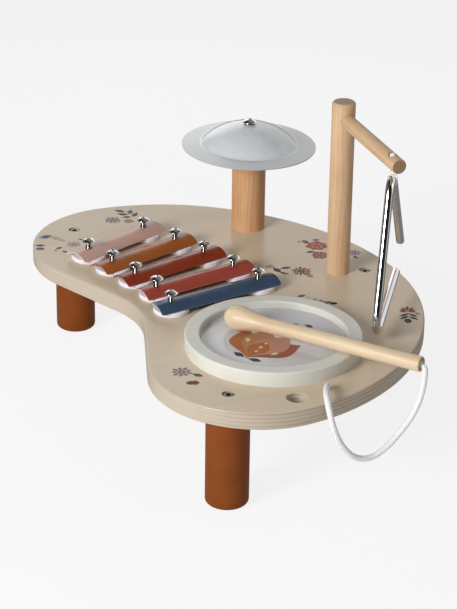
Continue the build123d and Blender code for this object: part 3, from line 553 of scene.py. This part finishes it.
def print_finish(name, colour, ground):
    """Printed ink that lets the ground's grain show faintly."""
    finish = Finish(name, Specular_IOR_Level=0.12)
    grain = finish.noise(ground, detail=3.0, rough=0.6)
    shade = finish.blend(finish.spread(grain, 0.4, 0.75, 0.0, 0.4), colour,
                         toned(colour, 0.8, 0.07))
    return finish.show(Base_Color=shade, Roughness=finish.spread(grain, 0.3, 0.7, 0.4, 0.52))


# Shapes

def give(node, material):
    """Dresses a node of the frame in a finish, as it is."""
    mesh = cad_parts[node].data
    mesh.materials.clear()
    mesh.materials.append(material)


def put(name, data):
    """Puts a mesh, lamp or camera into the scene."""
    item = bpy.data.objects.new(name, data)
    bpy.context.scene.collection.objects.link(item)
    return item


def add_piece(name, mesh, body, materials, replaces=()):
    """Puts a made mesh into the scene, on the body that carries it."""
    piece = put(name, mesh)
    for material in materials:
        mesh.materials.append(material)
    if replaces:
        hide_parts(*replaces)
    if body is not None:
        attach(piece, body)
    return piece


def as_mesh(shape, name):
    """Ends a shape under construction as a mesh."""
    mesh = bpy.data.meshes.new(name)
    shape.to_mesh(mesh)
    shape.free()
    return mesh


def smooth_mesh(shape, name):
    """The same, joined up and smooth but for its sharp edges."""
    bmesh.ops.remove_doubles(shape, verts=shape.verts, dist=1e-7)
    bmesh.ops.recalc_face_normals(shape, faces=shape.faces)
    for face in shape.faces:
        face.smooth = True
    for edge in shape.edges:
        edge.smooth = len(edge.link_faces) < 2 or edge.calc_face_angle(0.0) < SMOOTH_ANGLE
    return as_mesh(shape, name)


def circle(steps):
    """Cosines and sines of evenly spaced angles."""
    angles = [2 * math.pi * step / steps for step in range(steps)]
    return [(math.cos(angle), math.sin(angle)) for angle in angles]


def bridge(shape, low, high, material=0):
    """Faces between two closed rows of corners. A row may be a single corner."""
    for step in range(max(len(low), len(high))):
        corners = [low[step % len(low)], low[(step + 1) % len(low)],
                   high[(step + 1) % len(high)], high[step % len(high)]]
        corners = list(dict.fromkeys(corners))
        if len(corners) > 2:
            shape.faces.new(corners).material_index = material


def turn_profile(shape, profile, place, steps):
    """Turns a (radius, height) line about an upright axis through place."""
    rings = []
    for radius, height in profile:
        spots = circle(steps) if radius > 1e-9 else [(0.0, 0.0)]
        rings.append([shape.verts.new(place + Vector((radius * x, radius * y, height)))
                      for x, y in spots])
    for low, high in zip(rings, rings[1:]):
        bridge(shape, low, high)
    return rings


def rounded(points, radius, steps):
    """A (radius, height) line whose inner corners are rounded."""
    line = [points[0]]
    for before, corner, after in zip(points, points[1:], points[2:]):
        before, corner, after = Vector(before), Vector(corner), Vector(after)
        back, on = (before - corner), (after - corner)
        cut = min(radius, 0.45 * back.length, 0.45 * on.length)
        start, end = corner + back.normalized() * cut, corner + on.normalized() * cut
        for step in range(steps + 1):
            share = step / steps
            line.append(tuple(start.lerp(corner, share).lerp(corner.lerp(end, share), share)))
    return line + [points[-1]]


def screw_head(shape, place, radius, height, turn):
    """Domed head with a cross cut into its crown. place is the middle of its flat underside."""
    sizes = settings().sizes
    edge = HEAD_EDGE * height
    crown = height - edge
    sphere = (radius ** 2 + crown ** 2) / (2 * crown)

    def dome(distance):
        return height - sphere + math.sqrt(sphere ** 2 - distance ** 2)

    def cross(share, level=None):
        """Corners of the cross, on the dome or at a level."""
        tip, half = sizes.cross_reach * share, sizes.cross_width / 2 * share
        corners = []
        for arm in range(4):
            angle = turn + arm * math.pi / 2
            out = Vector((math.cos(angle), math.sin(angle), 0))
            side = Vector((-out.y, out.x, 0))
            for spot in (out * tip - side * half, out * tip + side * half,
                         out * half + side * half):
                lift = dome(spot.length) if level is None else level
                corners.append(shape.verts.new(place + spot + Vector((0, 0, lift))))
        return corners

    lip = sizes.cross_reach + 0.25 * MM
    rows = 6
    radii = [radius - (radius - lip) * row / rows for row in range(1, rows + 1)]
    corners = [(0.0, 0.0), (radius, 0.0), (radius, edge), (radii[0], dome(radii[0]))]
    profile = rounded(corners, HEAD_ROUND, 3) + [(out, dome(out)) for out in radii[1:]]
    rim = turn_profile(shape, profile, place, 48)[-1]
    mouth = cross(1.0)
    floor = cross(CROSS_TAPER, dome(0) - sizes.cross_depth)
    rim_edges = [shape.edges.get(ends) for ends in zip(rim, rim[1:] + rim[:1])]
    mouth_edges = [shape.edges.new(ends) for ends in zip(mouth, mouth[1:] + mouth[:1])]
    bmesh.ops.triangle_fill(shape, edges=rim_edges + mouth_edges, use_beauty=True)
    bridge(shape, mouth, floor)
    shape.faces.new(floor)


def threaded_shank(shape, place, low, steps=24):
    """Shank with a real helical thread, from place down to low, in the second material."""
    sizes = settings().sizes
    rows = int(-low / (sizes.pitch / 8)) + 1
    grid = []
    for row in range(rows + 1):
        height = low - low * row / rows
        ring = []
        for step, (x, y) in enumerate(circle(steps)):
            phase = (height / sizes.pitch - step / steps) % 1.0
            reach = SHANK_RADIUS - sizes.thread * abs(2 * phase - 1)
            ring.append(shape.verts.new(place + Vector((reach * x, reach * y, height))))
        grid.append(ring)
    for lower, upper in zip(grid, grid[1:]):
        bridge(shape, lower, upper, 1)


def line_of(route, name):
    """Points along the smooth line that a route of control points gives."""
    curve = bpy.data.curves.new(name, "CURVE")
    curve.dimensions = "3D"
    curve.resolution_u = 12
    spline = curve.splines.new("NURBS")
    spline.points.add(len(route) - 1)
    for point, spot in zip(spline.points, route):
        point.co = (*spot, 1.0)
    spline.order_u = 3
    spline.use_endpoint_u = True
    holder = bpy.data.objects.new(name, curve)
    line = bpy.data.meshes.new_from_object(holder)
    points = [vertex.co.copy() for vertex in line.vertices]
    bpy.data.objects.remove(holder)
    bpy.data.meshes.remove(line)
    bpy.data.curves.remove(curve)
    return points


def length_of(points):
    return sum((after - before).length for before, after in zip(points, points[1:]))


def cord_mesh(name, points, radius_at, steps=20):
    """Tube along points, with U along it in diameters and V round it."""
    shape = bmesh.new()
    sheet = shape.loops.layers.uv.new("braid")
    ways = [(after - before).normalized() for before, after in zip(points, points[1:])]
    ways = [ways[0]] + [(a + b).normalized() for a, b in zip(ways, ways[1:])] + [ways[-1]]
    side = ways[0].orthogonal().normalized()
    rings, marks, travelled = [], [], 0.0
    for index, (point, way) in enumerate(zip(points, ways)):
        side = (side - way * side.dot(way)).normalized()
        other = way.cross(side)
        if index:
            travelled += (point - points[index - 1]).length
        radius = radius_at(travelled)
        rings.append([shape.verts.new(point + (side * x + other * y) * radius)
                      for x, y in circle(steps)])
        marks.append(travelled)
    scale = 2 * radius_at(marks[-1] / 2)
    for low, high, start, end in zip(rings, rings[1:], marks, marks[1:]):
        for step in range(steps):
            after = (step + 1) % steps
            face = shape.faces.new((low[step], low[after], high[after], high[step]))
            spots = [(start, step), (start, step + 1), (end, step + 1), (end, step)]
            for loop, (mark, turn) in zip(face.loops, spots):
                loop[sheet].uv = (mark / scale, turn / steps)
    for ring in (rings[0], rings[-1]):
        shape.faces.new(ring)
    for face in shape.faces:
        face.smooth = True
    bmesh.ops.recalc_face_normals(shape, faces=shape.faces)
    return as_mesh(shape, name)


def screw_places():
    """Axes of the bar screws, from the islands of their node's mesh."""
    places = []
    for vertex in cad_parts["bar_screws"].data.vertices:
        flat = Vector((vertex.co.x, vertex.co.y, 0.0))
        group = next((g for g in places if (g[0] - flat).length < SCREW_SPREAD), None)
        if group is None:
            places.append([flat, flat.copy(), flat.copy()])
        else:
            group[1] = Vector(map(min, group[1], flat))
            group[2] = Vector(map(max, group[2], flat))
            group[0] = (group[1] + group[2]) / 2
    return [group[0] for group in places]


# Prints, in millimetres. Flowers are (number of petals, width of one in radii), leaves the width
# in lengths, and the fan its petals as (lean in degrees, length in sizes).

FLOWERS = {"daisy": (9, 0.36), "aster": (11, 0.27), "peony": (7, 0.66)}
LEAVES = {"leaf": 0.46, "blade": 0.27}
FAN = [(-90, 0.5), (-62, 0.6), (-32, 0.72), (0, 0.8), (32, 0.72), (62, 0.6), (90, 0.5)]


def turned(outline, degrees, shift=(0.0, 0.0)):
    cosine, sine = math.cos(math.radians(degrees)), math.sin(math.radians(degrees))
    return [(x * cosine - y * sine + shift[0], x * sine + y * cosine + shift[1])
            for x, y in outline]


def petal(length, width, lean=0, shift=(0.0, 0.0), steps=10, blunt=0.5):
    """Leaf-shaped outline that starts at shift and leans that many degrees from +X."""
    upper, lower = [], []
    for step in range(1, steps):
        share = step / steps
        rise = width / 2 * math.sin(math.pi * share ** (1.0 + blunt * (1 - share)))
        upper.append((length * share, rise))
        lower.append((length * share, -rise))
    return turned([(0.0, 0.0)] + lower + [(length, 0.0)] + upper[::-1], lean, shift)


def disc(radius, steps=16):
    return [(radius * x, radius * y) for x, y in circle(steps)]


def flower(count, width, half):
    """Petals, long and short by turns, round a disc with a heart."""
    parts = []
    inner = 0.18 * half
    for number in range(count):
        angle = 360 * number / count
        start = (inner * math.cos(math.radians(angle)), inner * math.sin(math.radians(angle)))
        reach = (half - inner) * (1.0 if number % 2 else 0.86)
        parts.append((petal(reach, width * half, angle, start, blunt=0.9), "main"))
    return parts + [(disc(0.34 * half, 24), "main"), (disc(0.15 * half), "heart")]


def sprig(size):
    """A thin stem with five pairs of leaves."""
    half = size / 2
    parts = [([(-half, -0.015 * size), (half, -0.01 * size), (half, 0.01 * size),
               (-half, 0.015 * size)], "main")]
    for number in range(5):
        share = (number + 0.6) / 5
        reach = 0.34 * size * (1.0 - 0.45 * share)
        for lean in (42, -42):
            parts.append((petal(reach, 0.3 * reach, lean, (-half + size * share * 0.94, 0.0)),
                          "main"))
    return parts


def motif(kind, size):
    """Outlines of a motif, each with its part, about the motif's own centre."""
    half = size / 2
    if kind in FLOWERS:
        return flower(*FLOWERS[kind], half)
    if kind in LEAVES:
        return [(petal(size, LEAVES[kind] * size, shift=(-half, 0)), "main")]
    if kind == "fan":
        return [(petal(size * reach, size * 0.2, lean, blunt=0.9), "main") for lean, reach in FAN]
    if kind == "petal":
        return [(petal(size, 0.52 * size, steps=20, blunt=0.6), "main")]
    if kind == "oval":
        return [([(x, 0.72 * y) for x, y in disc(half, 20)], "main")]
    if kind == "bud":
        return [(petal(0.66 * size, 0.66 * size, shift=(-0.16 * size, 0), blunt=0.2), "main"),
                (petal(0.6 * size, 0.24 * size, 24, (-half, 0)), "stem"),
                (petal(0.6 * size, 0.24 * size, -24, (-half, 0)), "stem")]
    if kind == "sprig":
        return sprig(size)
    raise ValueError("no such motif: " + kind)


def lay_outline(shape, outline, height, rise, material):
    """One flat printed patch with a low edge."""
    upper, lower = [], []
    for x, y in outline:
        upper.append(shape.verts.new((x * MM, y * MM, height + rise)))
        lower.append(shape.verts.new((x * MM, y * MM, height)))
    shape.faces.new(upper).material_index = material
    bridge(shape, lower, upper, material)


def lay_prints(name, prints, height, ground, one_stack=False):
    """Printed motifs as one thin piece. In a stack, each patch lies a little above the last.

    Each motif is a stack, or all of them are one.
    """
    patches = []
    for kind, x, y, turn, size, ink in prints:
        inks = {"main": ink, "heart": "rose" if ink == "plum" else "ochre", "stem": "ink"}
        stack = None if one_stack else (x, y)
        for outline, part in motif(kind, size):
            patches.append((turned(outline, turn, (x, y)), stack, inks[part]))

    rise = settings().sizes.print_rise
    inks = sorted({ink for outline, stack, ink in patches})
    shape = bmesh.new()
    levels = {}
    for outline, stack, ink in patches:
        levels[stack] = levels.get(stack, 0) + 1
        lay_outline(shape, outline, height, rise * (1.0 + 0.04 * levels[stack]), inks.index(ink))
    finishes = [print_finish("%s %s" % (name, ink), colour_of(ink), ground) for ink in inks]
    add_piece(name.replace(" ", "_"), as_mesh(shape, name), "table", finishes)


# Operators

class MUSICTABLE_OT_stage(bpy.types.Operator):
    """Set up the camera, the lamps and the pale floor"""

    bl_idname = "music_table.stage"
    bl_label = "Stage"

    def execute(self, context):
        scene = context.scene
        light = settings().light
        scene.view_settings.view_transform = "Standard"
        scene.camera = self.make_camera()
        for name, (place, size) in LAMPS.items():
            self.soft_lamp(name + " lamp", place, size, getattr(light, name))
        self.make_floor(light)
        self.make_room(scene, light)
        return {"FINISHED"}

    def make_camera(self):
        """Camera that looks from the eye to the aim, turned a little about its own axis."""
        lens = bpy.data.cameras.new("studio camera")
        lens.sensor_width = 36.0
        lens.lens = CAMERA_LENS
        lens.clip_start = 0.05
        lens.clip_end = 60.0
        ahead = (CAMERA_AIM - CAMERA_EYE).normalized()
        right = ahead.cross(Vector((0, 0, 1))).normalized()
        up = right.cross(ahead)
        cosine, sine = math.cos(CAMERA_ROLL), math.sin(CAMERA_ROLL)
        axes = Matrix((right * cosine + up * sine, up * cosine - right * sine, -ahead))
        camera = put("studio camera", lens)
        camera.matrix_world = Matrix.Translation(CAMERA_EYE) @ axes.transposed().to_4x4()
        return camera

    def soft_lamp(self, name, place, size, power):
        lamp = bpy.data.lights.new(name, "AREA")
        lamp.shape = "DISK"
        lamp.size = size
        lamp.energy = power
        holder = put(name, lamp)
        holder.location = place
        holder.rotation_euler = (CAMERA_AIM - Vector(place)).to_track_quat("-Z", "Y").to_euler()

    def make_floor(self, light):
        """Pale floor that the camera sees nearly white, with the table's soft shadow on it."""
        shape = bmesh.new()
        bmesh.ops.create_circle(shape, cap_ends=True, segments=96, radius=FLOOR_RADIUS)
        floor = put("floor", as_mesh(shape, "floor"))
        finish = Finish("studio floor", Roughness=0.9, Specular_IOR_Level=0.1)
        clear = finish.spread(finish.ray("Is Glossy Ray"), 0.0, 1.0, 1.0, light.mirrored)
        tone = finish.blend(clear, (0.0, 0.0, 0.0), (light.floor,) * 3)
        finish.show(Base_Color=tone)
        glow = finish.add("Emission", {"Color": tone, "Strength": 1.0})
        share = finish.times(finish.seen(), 1.0 - light.shadow)
        both = finish.add("MixShader", {0: share, 1: finish.shader.outputs[0], 2: glow})
        finish.wire(finish.tree.nodes["Material Output"], "Surface", both)
        floor.data.materials.append(finish.material)

    def make_room(self, scene, light):
        """Even light from all round. Metal reflects low pale screens under a dark ceiling."""
        scene.world = bpy.data.worlds.new("studio room")
        scene.world.use_nodes = True
        room = Nodes(scene.world.node_tree)
        way = room.add("TexCoord", {}, "Generated")
        clear = room.times(*[self.without_gap(room, way, *gap) for gap in DARK_GAPS])
        screens = room.spread(room.split(way, "Z"), *SCREENS_FADE, light.low_screen,
                              light.ceiling)
        screens = room.times(screens, clear)
        strength = room.add("Mix", {0: room.seen(), 2: light.room, 3: screens}, 0)
        backdrop = room.tree.nodes["Background"]
        room.wire(backdrop, "Color", (1.0, 1.0, 1.0))
        room.wire(backdrop, "Strength", strength)

    def without_gap(self, room, way, middle, half, depth):
        """1 less the depth of a dark gap between two screens. Only reflections show it."""
        bearing = room.math("ARCTAN2", room.split(way, "Y"), room.split(way, "X"))
        gap = room.spread(room.away(bearing, math.radians(middle)), math.radians(half * 0.85),
                          math.radians(half * 1.1), depth, 0.0)
        return room.math("SUBTRACT", 1.0, room.times(gap, room.ray("Is Glossy Ray")))


class MUSICTABLE_OT_cords(bpy.types.Operator):
    """Make the mallet's cord with its knot, and the loop that carries the triangle"""

    bl_idname = "music_table.cords"
    bl_label = "Cords"

    def execute(self, context):
        self.mallet_cord()
        self.triangle_loop()
        return {"FINISHED"}

    def mallet_cord(self):
        diameter = settings().sizes.cord
        braid = braid_finish("mallet cord braid", colour_of("cord"), diameter)
        points = line_of(MALLET_CORD_ROUTE, "mallet cord line")
        whole = length_of(points)

        def radius_at(travelled):
            """Half the diameter, drawn in over the last stretch before the handle."""
            left = (whole - travelled) / (0.75 * diameter)
            return diameter / 2 * (1 - 0.55 * max(0.0, 1 - left) ** 2)

        mesh = cord_mesh("braided cord", points, radius_at)
        cord = add_piece("braided_cord", mesh, None, [braid], ["mallet_cord"])
        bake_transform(cord)
        knot = self.knot(braid, diameter)
        give("mallet_cord_tail", braid)

    def knot(self, braid, diameter):
        """Overhand knot under the tabletop, with the cord's end standing up in its hole."""
        low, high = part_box("cord_knot")
        ball = (high[0] - low[0]) / 2
        centre = Vector(low) + Vector((ball, ball, ball))
        reach = ball - diameter / 2
        angles = [2 * math.pi * step / 96 for step in range(97)]
        trefoil = [centre + Vector((
            reach * 0.55 * (math.sin(angle) + 0.9 * math.sin(2 * angle)),
            reach * 0.55 * (math.cos(angle) - 0.9 * math.cos(2 * angle)),
            reach * 0.62 * math.sin(3 * angle))) for angle in angles]
        stub = [centre, Vector((centre.x, centre.y, high[2]))]
        shape = bmesh.new()
        for line in (trefoil, stub):
            part = cord_mesh("knot strand", line, lambda travelled: diameter / 2, 14)
            shape.from_mesh(part)
            bpy.data.meshes.remove(part)
        return add_piece("stop_knot", as_mesh(shape, "stop knot"), "table", [braid],
                         ["cord_knot"])

    def triangle_loop(self):
        diameter = settings().sizes.loop
        braid = braid_finish("triangle loop braid", colour_of("cord"), diameter, 6)
        rod_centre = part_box("triangle_loop")[0][2] + diameter + LOOP_PLAY + ROD_RADIUS
        across = Vector((-math.sin(TRIANGLE_DIRECTION), math.cos(TRIANGLE_DIRECTION), 0))
        route = [HANG_PLACE + across * side + Vector((0, 0, rod_centre + rise))
                 for side, rise in LOOP_ROUTE]
        points = line_of(route, "triangle loop line")
        mesh = cord_mesh("hanging loop", points, lambda travelled: diameter / 2, 14)
        loop = add_piece("hanging_loop", mesh, "triangle_loop", [braid],
                         ["triangle_loop"])
        give("triangle_knot", braid)


class MUSICTABLE_OT_tabletop(bpy.types.Operator):
    """Finish the plywood top: birch faces and a layered edge"""

    bl_idname = "music_table.tabletop"
    bl_label = "Tabletop"

    def execute(self, context):
        finish = Finish("birch plywood", Coat_Weight=0.22, Coat_Roughness=0.15,
                        Specular_IOR_Level=0.3)
        turn = (0, 0, math.radians(GRAIN_BEARING))
        pale, deep = colour_of("ply_pale"), colour_of("ply_deep")
        rings, fibres, specks = wood_figure(finish, turn, (0.02, 0.1, 0.42), 0.011)
        cloud = finish.noise((0.16, 0.05, 0.05), turn)
        lean = finish.plus(finish.times(rings, 0.12), finish.times(fibres, 0.45))
        lean = finish.plus(lean, finish.spread(cloud, 0.3, 0.7, -0.15, 0.2))
        face = finish.blend(finish.spread(lean, 0.0, 0.8), pale, deep)
        face = finish.blend(finish.times(specks, 0.25), face, toned(deep, 0.6))
        edge = self.plies(finish, PLY_THICKNESS / settings().sizes.plies, fibres)
        steep = finish.math("ABSOLUTE", finish.split(finish.add("TexCoord", {}, "Normal"), "Z"))
        colour = finish.blend(finish.spread(steep, 0.80, 0.93), edge, face)
        give("tabletop", finish.show(Base_Color=colour,
                                     Roughness=finish.spread(fibres, 0.3, 0.7, 0.36, 0.46),
                                     Normal=finish.relief(fibres, 0.00004)))
        return {"FINISHED"}

    def plies(self, finish, ply, fibres):
        """Edge of the plywood: end grain shows dark in every second ply, along one axis.

        The layers show most on the edge faces that turn towards PLY_BEARING, towards the drum's
        end.
        """
        pale, deep = colour_of("edge_pale"), colour_of("edge_deep")
        here = finish.place(about=(0, 0, TABLE_UNDER))
        sway = finish.noise(0.05)
        height = finish.plus(finish.split(here, "Z"),
                             finish.spread(sway, 0.3, 0.7, -0.18 * ply, 0.18 * ply))
        pair = finish.math("FRACT", finish.math("DIVIDE", height, 2 * ply))
        second = finish.spread(finish.away(pair, 0.5), 0.21, 0.29)
        bearing = math.radians(PLY_BEARING)
        along = finish.along((math.cos(bearing), math.sin(bearing), 0))
        uneven = finish.noise((0.03, 0.03, 0.0035), detail=1.0)
        strength = finish.times(finish.spread(along, -0.2, 0.9, 0.10, 0.60),
                                finish.spread(uneven, 0.3, 0.7, 0.5, 1.1))
        drilled = finish.add("VectorMath", {0: finish.place((1, 1, 0.001), about=MALLET_HOLE)},
                             "Value", operation="LENGTH")
        sawn = finish.spread(drilled, 0.010, 0.012)
        strength = finish.times(strength, sawn)
        pores = finish.noise((0.0009, 0.0009, 0.00045), detail=3.0, rough=0.7)
        long_grain = finish.blend(finish.spread(fibres, 0.3, 0.7), pale, toned(pale, 0.92))
        end_grain = finish.blend(finish.spread(pores, 0.35, 0.65), deep, toned(deep, 0.75))
        edge = finish.blend(finish.times(second, strength), long_grain, end_grain)
        seam = finish.math("ABSOLUTE", finish.math("SINE", finish.times(height, math.pi / ply)))
        lines = finish.times(finish.spread(seam, 0.05, 0.35, 1.0, 0.0),
                             finish.spread(along, -0.4, 0.6, 0.10, 0.42))
        return finish.blend(finish.times(lines, sawn), edge, toned(deep, 0.62))


class MUSICTABLE_OT_prints(bpy.types.Operator):
    """Print the small flowers and leaves on the tabletop"""

    bl_idname = "music_table.prints"
    bl_label = "Tabletop prints"

    def execute(self, context):
        lay_prints("tabletop prints", TOP_PRINTS, TABLE_TOP, (0.0005, 0.02, 0.0005))
        return {"FINISHED"}


class MUSICTABLE_OT_legs(bpy.types.Operator):
    """Finish the painted legs, their bolts and inserts"""

    bl_idname = "music_table.legs"
    bl_label = "Legs"

    def execute(self, context):
        paint = paint_finish("leg paint", colour_of("legs"), coat=0.05, shine=0.15,
                             grain=(0.0006, 0.0006, 0.02))
        for node in ("leg_front_left", "leg_front_right", "leg_back"):
            give(node, paint)
        # Painted shade: the bolts' metal is made dark, standing in for the shade and dark
        # reflections in their recesses
        give("leg_bolts", metal_finish("bolt zinc", (0.20, 0.19, 0.18), 0.22, 0.08))
        give("leg_inserts", metal_finish("insert brass", (0.72, 0.55, 0.3), 0.3, 0.1))
        return {"FINISHED"}


class MUSICTABLE_OT_posts(bpy.types.Operator):
    """Finish the two beech posts, the arm and their screws"""

    bl_idname = "music_table.posts"
    bl_label = "Posts and arm"

    def execute(self, context):
        upright = (0, math.radians(90), 0)
        for node, wood, seed in (("tall_post", "arm", 0.31), ("cymbal_post", "beech", 0.77)):
            centre = middle_of(node)
            heart = (centre.x + 0.05, centre.y + 0.02, 0)
            give(node, wood_finish("beech " + node, *woods(wood), upright, heart, 0.0035,
                                   seed=seed, sawn=0.68))
        low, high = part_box("triangle_arm")
        thick = high[2] - low[2]
        bearing = -math.atan2(high[1] - low[1] - thick, high[0] - low[0])
        heart = (low[0], low[1] + 0.03, low[2] - 0.02)
        give("triangle_arm", wood_finish("beech arm", *woods("arm"), (0, 0, bearing), heart,
                                         0.003, seed=0.52, sawn=0.46))
        steel = metal_finish("wood screw zinc", (0.6, 0.58, 0.54), 0.3, 0.1)
        for node in ("tall_post_screw", "cymbal_post_screw", "drum_screws"):
            give(node, steel)
        return {"FINISHED"}


class MUSICTABLE_OT_cymbal(bpy.types.Operator):
    """Finish the cymbal and make the screw that holds it"""

    bl_idname = "music_table.cymbal"
    bl_label = "Cymbal"

    def execute(self, context):
        low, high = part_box("cymbal_screw")
        centre = middle_of("cymbal_screw")
        head_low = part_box("cymbal_washer")[1][2]
        # The brim beyond DOME_RADIUS gets painted shade, a darker copy of the steel's colour
        give("cymbal", metal_finish("spun cymbal steel", (0.735, 0.77, 0.79), 0.32, 0.06,
                                    (centre.x, centre.y, 0.0), 0.06, 1.0, DOME_RADIUS))
        give("cymbal_felt", felt_finish("cymbal felt", (0.5, 0.48, 0.45)))
        give("cymbal_washer", rubber_finish("cymbal washer rubber", (0.02, 0.02, 0.02)))
        place = Vector((centre.x, centre.y, head_low))
        shape = bmesh.new()
        screw_head(shape, place, (high[0] - low[0]) / 2, high[2] - head_low, 0.5)
        threaded_shank(shape, place, low[2] - head_low)
        add_piece("cross_screw_cymbal", smooth_mesh(shape, "cymbal cross screw"), "table",
                  screw_metals("screw"), ["cymbal_screw"])
        return {"FINISHED"}


class MUSICTABLE_OT_bars(bpy.types.Operator):
    """Finish the five painted chime bars"""

    bl_idname = "music_table.bars"
    bl_label = "Chime bars"

    def execute(self, context):
        spots = screw_places()
        for name in BARS:
            colour = colour_of(name)
            # Painted highlight: a pale colour on the bar's cut ends and broken edges stands in
            # for the light they catch
            painted_edge_highlight = toned(colour, 0.40, 0.42)
            low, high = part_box(name)
            first, second = [spot for spot in spots if low[0] < spot.x < high[0]
                             and low[1] < spot.y < high[1]][:2]
            along = second - first
            give(name, paint_finish("paint " + name, colour, rough=0.34, coat=0.4, shine=0.16,
                                    wear=0.04, ends=(math.atan2(along.y, along.x), painted_edge_highlight),
                                    veil=0.08))
            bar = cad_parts[name]
            bar.data.materials.append(paint_finish("edge " + name, painted_edge_highlight, rough=0.3, coat=0.2))
            soft = bar.modifiers.new("broken edges", "BEVEL")
            soft.width = BROKEN_EDGE
            soft.segments = 2
            soft.limit_method = "ANGLE"
            soft.angle_limit = math.radians(50)
            soft.material = 1
        return {"FINISHED"}


class MUSICTABLE_OT_bar_screws(bpy.types.Operator):
    """Make the domed cross screws that hold the bars"""

    bl_idname = "music_table.bar_screws"
    bl_label = "Bar screws"

    def execute(self, context):
        low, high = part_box("bar_screws")
        shape = bmesh.new()
        for number, spot in enumerate(screw_places()):
            place = Vector((spot.x, spot.y, high[2] - BAR_HEAD_HEIGHT))
            screw_head(shape, place, BAR_HEAD_RADIUS, BAR_HEAD_HEIGHT, 0.4 + 1.13 * number)
            threaded_shank(shape, place, low[2] - place.z)
        add_piece("cross_screws_bars", smooth_mesh(shape, "bar cross screws"), "table",
                  screw_metals("bar screw"), ["bar_screws"])
        return {"FINISHED"}


class MUSICTABLE_OT_pads(bpy.types.Operator):
    """Make the felt discs under the bars"""

    bl_idname = "music_table.pads"
    bl_label = "Felt discs"

    def execute(self, context):
        low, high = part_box("bar_pads")
        thick = high[2] - low[2]
        wool = felt_finish("bar felt", colour_of("felt"))
        corners = [(PAD_HOLE_RADIUS, 0.0), (PAD_RADIUS, 0.0), (PAD_RADIUS, thick),
                   (PAD_HOLE_RADIUS, thick), (PAD_HOLE_RADIUS, 0.0)]
        line = rounded(corners, settings().sizes.felt_round, 4)
        for number, spot in enumerate(screw_places(), start=1):
            shape = bmesh.new()
            turn_profile(shape, line, Vector((spot.x, spot.y, low[2])), 56)
            pad = add_piece("felt_disc_%d" % number, smooth_mesh(shape, "felt disc"), "table",
                            [wool], ["bar_pads"])
        return {"FINISHED"}


class MUSICTABLE_OT_drum(bpy.types.Operator):
    """Finish the drum's ring, hoop and head, and print the head"""

    bl_idname = "music_table.drum"
    bl_label = "Drum"

    def execute(self, context):
        give("drum_ring", paint_finish("drum ring paint", colour_of("ring"), rough=0.42,
                                       coat=0.1, wear=0.03, grain=(0.0007, 0.0007, 0.02)))
        give("drum_hoop", paint_finish("hoop board", (0.36, 0.28, 0.19), rough=0.7, coat=0.0,
                                       wear=0.1))
        skin = colour_of("skin")
        finish = Finish("drumhead sheet", Coat_Weight=0.8, Coat_Roughness=0.12, Roughness=0.45)
        pebble = finish.noise(0.0012)
        shade = finish.blend(finish.spread(finish.noise(0.03), 0.3, 0.7), skin,
                             toned(skin, 0.94))
        give("drumhead", finish.show(Base_Color=shade, Normal=finish.relief(pebble, 0.00002)))
        lay_prints("drum print", DRUM_PRINTS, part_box("drumhead")[1][2], 0.0012,
                   one_stack=True)
        return {"FINISHED"}


class MUSICTABLE_OT_mallet(bpy.types.Operator):
    """Finish the turned mallet"""

    bl_idname = "music_table.mallet"
    bl_label = "Mallet"

    def execute(self, context):
        centre = middle_of("mallet")
        heart = (centre.x - 0.012, centre.y + 0.02, centre.z - 0.01)
        give("mallet", wood_finish("mallet beech", *woods("mallet"), (0, 0, MALLET_DIRECTION),
                                   heart, streaks=0.8, flecks=0.3, rough=0.4, seed=0.13,
                                   coat=0.3))
        return {"FINISHED"}


class MUSICTABLE_OT_triangle(bpy.types.Operator):
    """Finish the triangle's bent rod"""

    bl_idname = "music_table.triangle"
    bl_label = "Triangle"

    def execute(self, context):
        give("triangle", metal_finish("triangle chrome", (0.76, 0.76, 0.76), 0.05, 0.015))
        return {"FINISHED"}


class MUSICTABLE_PT_panel(bpy.types.Panel):
    """Sidebar panel with every step of the table"""

    bl_label = "Music table"
    bl_idname = "MUSICTABLE_PT_panel"
    bl_space_type = "VIEW_3D"
    bl_region_type = "UI"
    bl_category = "Music table"

    def draw(self, context):
        layout = self.layout
        for operator in OPERATORS:
            layout.operator(operator.bl_idname)
        for group in (settings().colours, settings().sizes, settings().light):
            box = layout.box()
            for field in group.bl_rna.properties.keys():
                if field not in ("rna_type", "name"):
                    box.prop(group, field)


OPERATORS = [
    MUSICTABLE_OT_stage, MUSICTABLE_OT_cords, MUSICTABLE_OT_tabletop, MUSICTABLE_OT_prints,
    MUSICTABLE_OT_legs, MUSICTABLE_OT_posts, MUSICTABLE_OT_cymbal, MUSICTABLE_OT_bars,
    MUSICTABLE_OT_bar_screws, MUSICTABLE_OT_pads, MUSICTABLE_OT_drum, MUSICTABLE_OT_mallet,
    MUSICTABLE_OT_triangle,
]
GROUPS = [MusicTableColours, MusicTableSizes, MusicTableLight, MusicTable]


def register():
    for kind in GROUPS + OPERATORS + [MUSICTABLE_PT_panel]:
        bpy.utils.register_class(kind)
    bpy.types.Scene.music_table = PointerProperty(type=MusicTable)


def unregister():
    del bpy.types.Scene.music_table
    for kind in reversed(GROUPS + OPERATORS + [MUSICTABLE_PT_panel]):
        bpy.utils.unregister_class(kind)


def main():
    register()
    for operator in OPERATORS:
        group, step = operator.bl_idname.split(".")
        getattr(getattr(bpy.ops, group), step)()


if __name__ == "__main__":
    main()
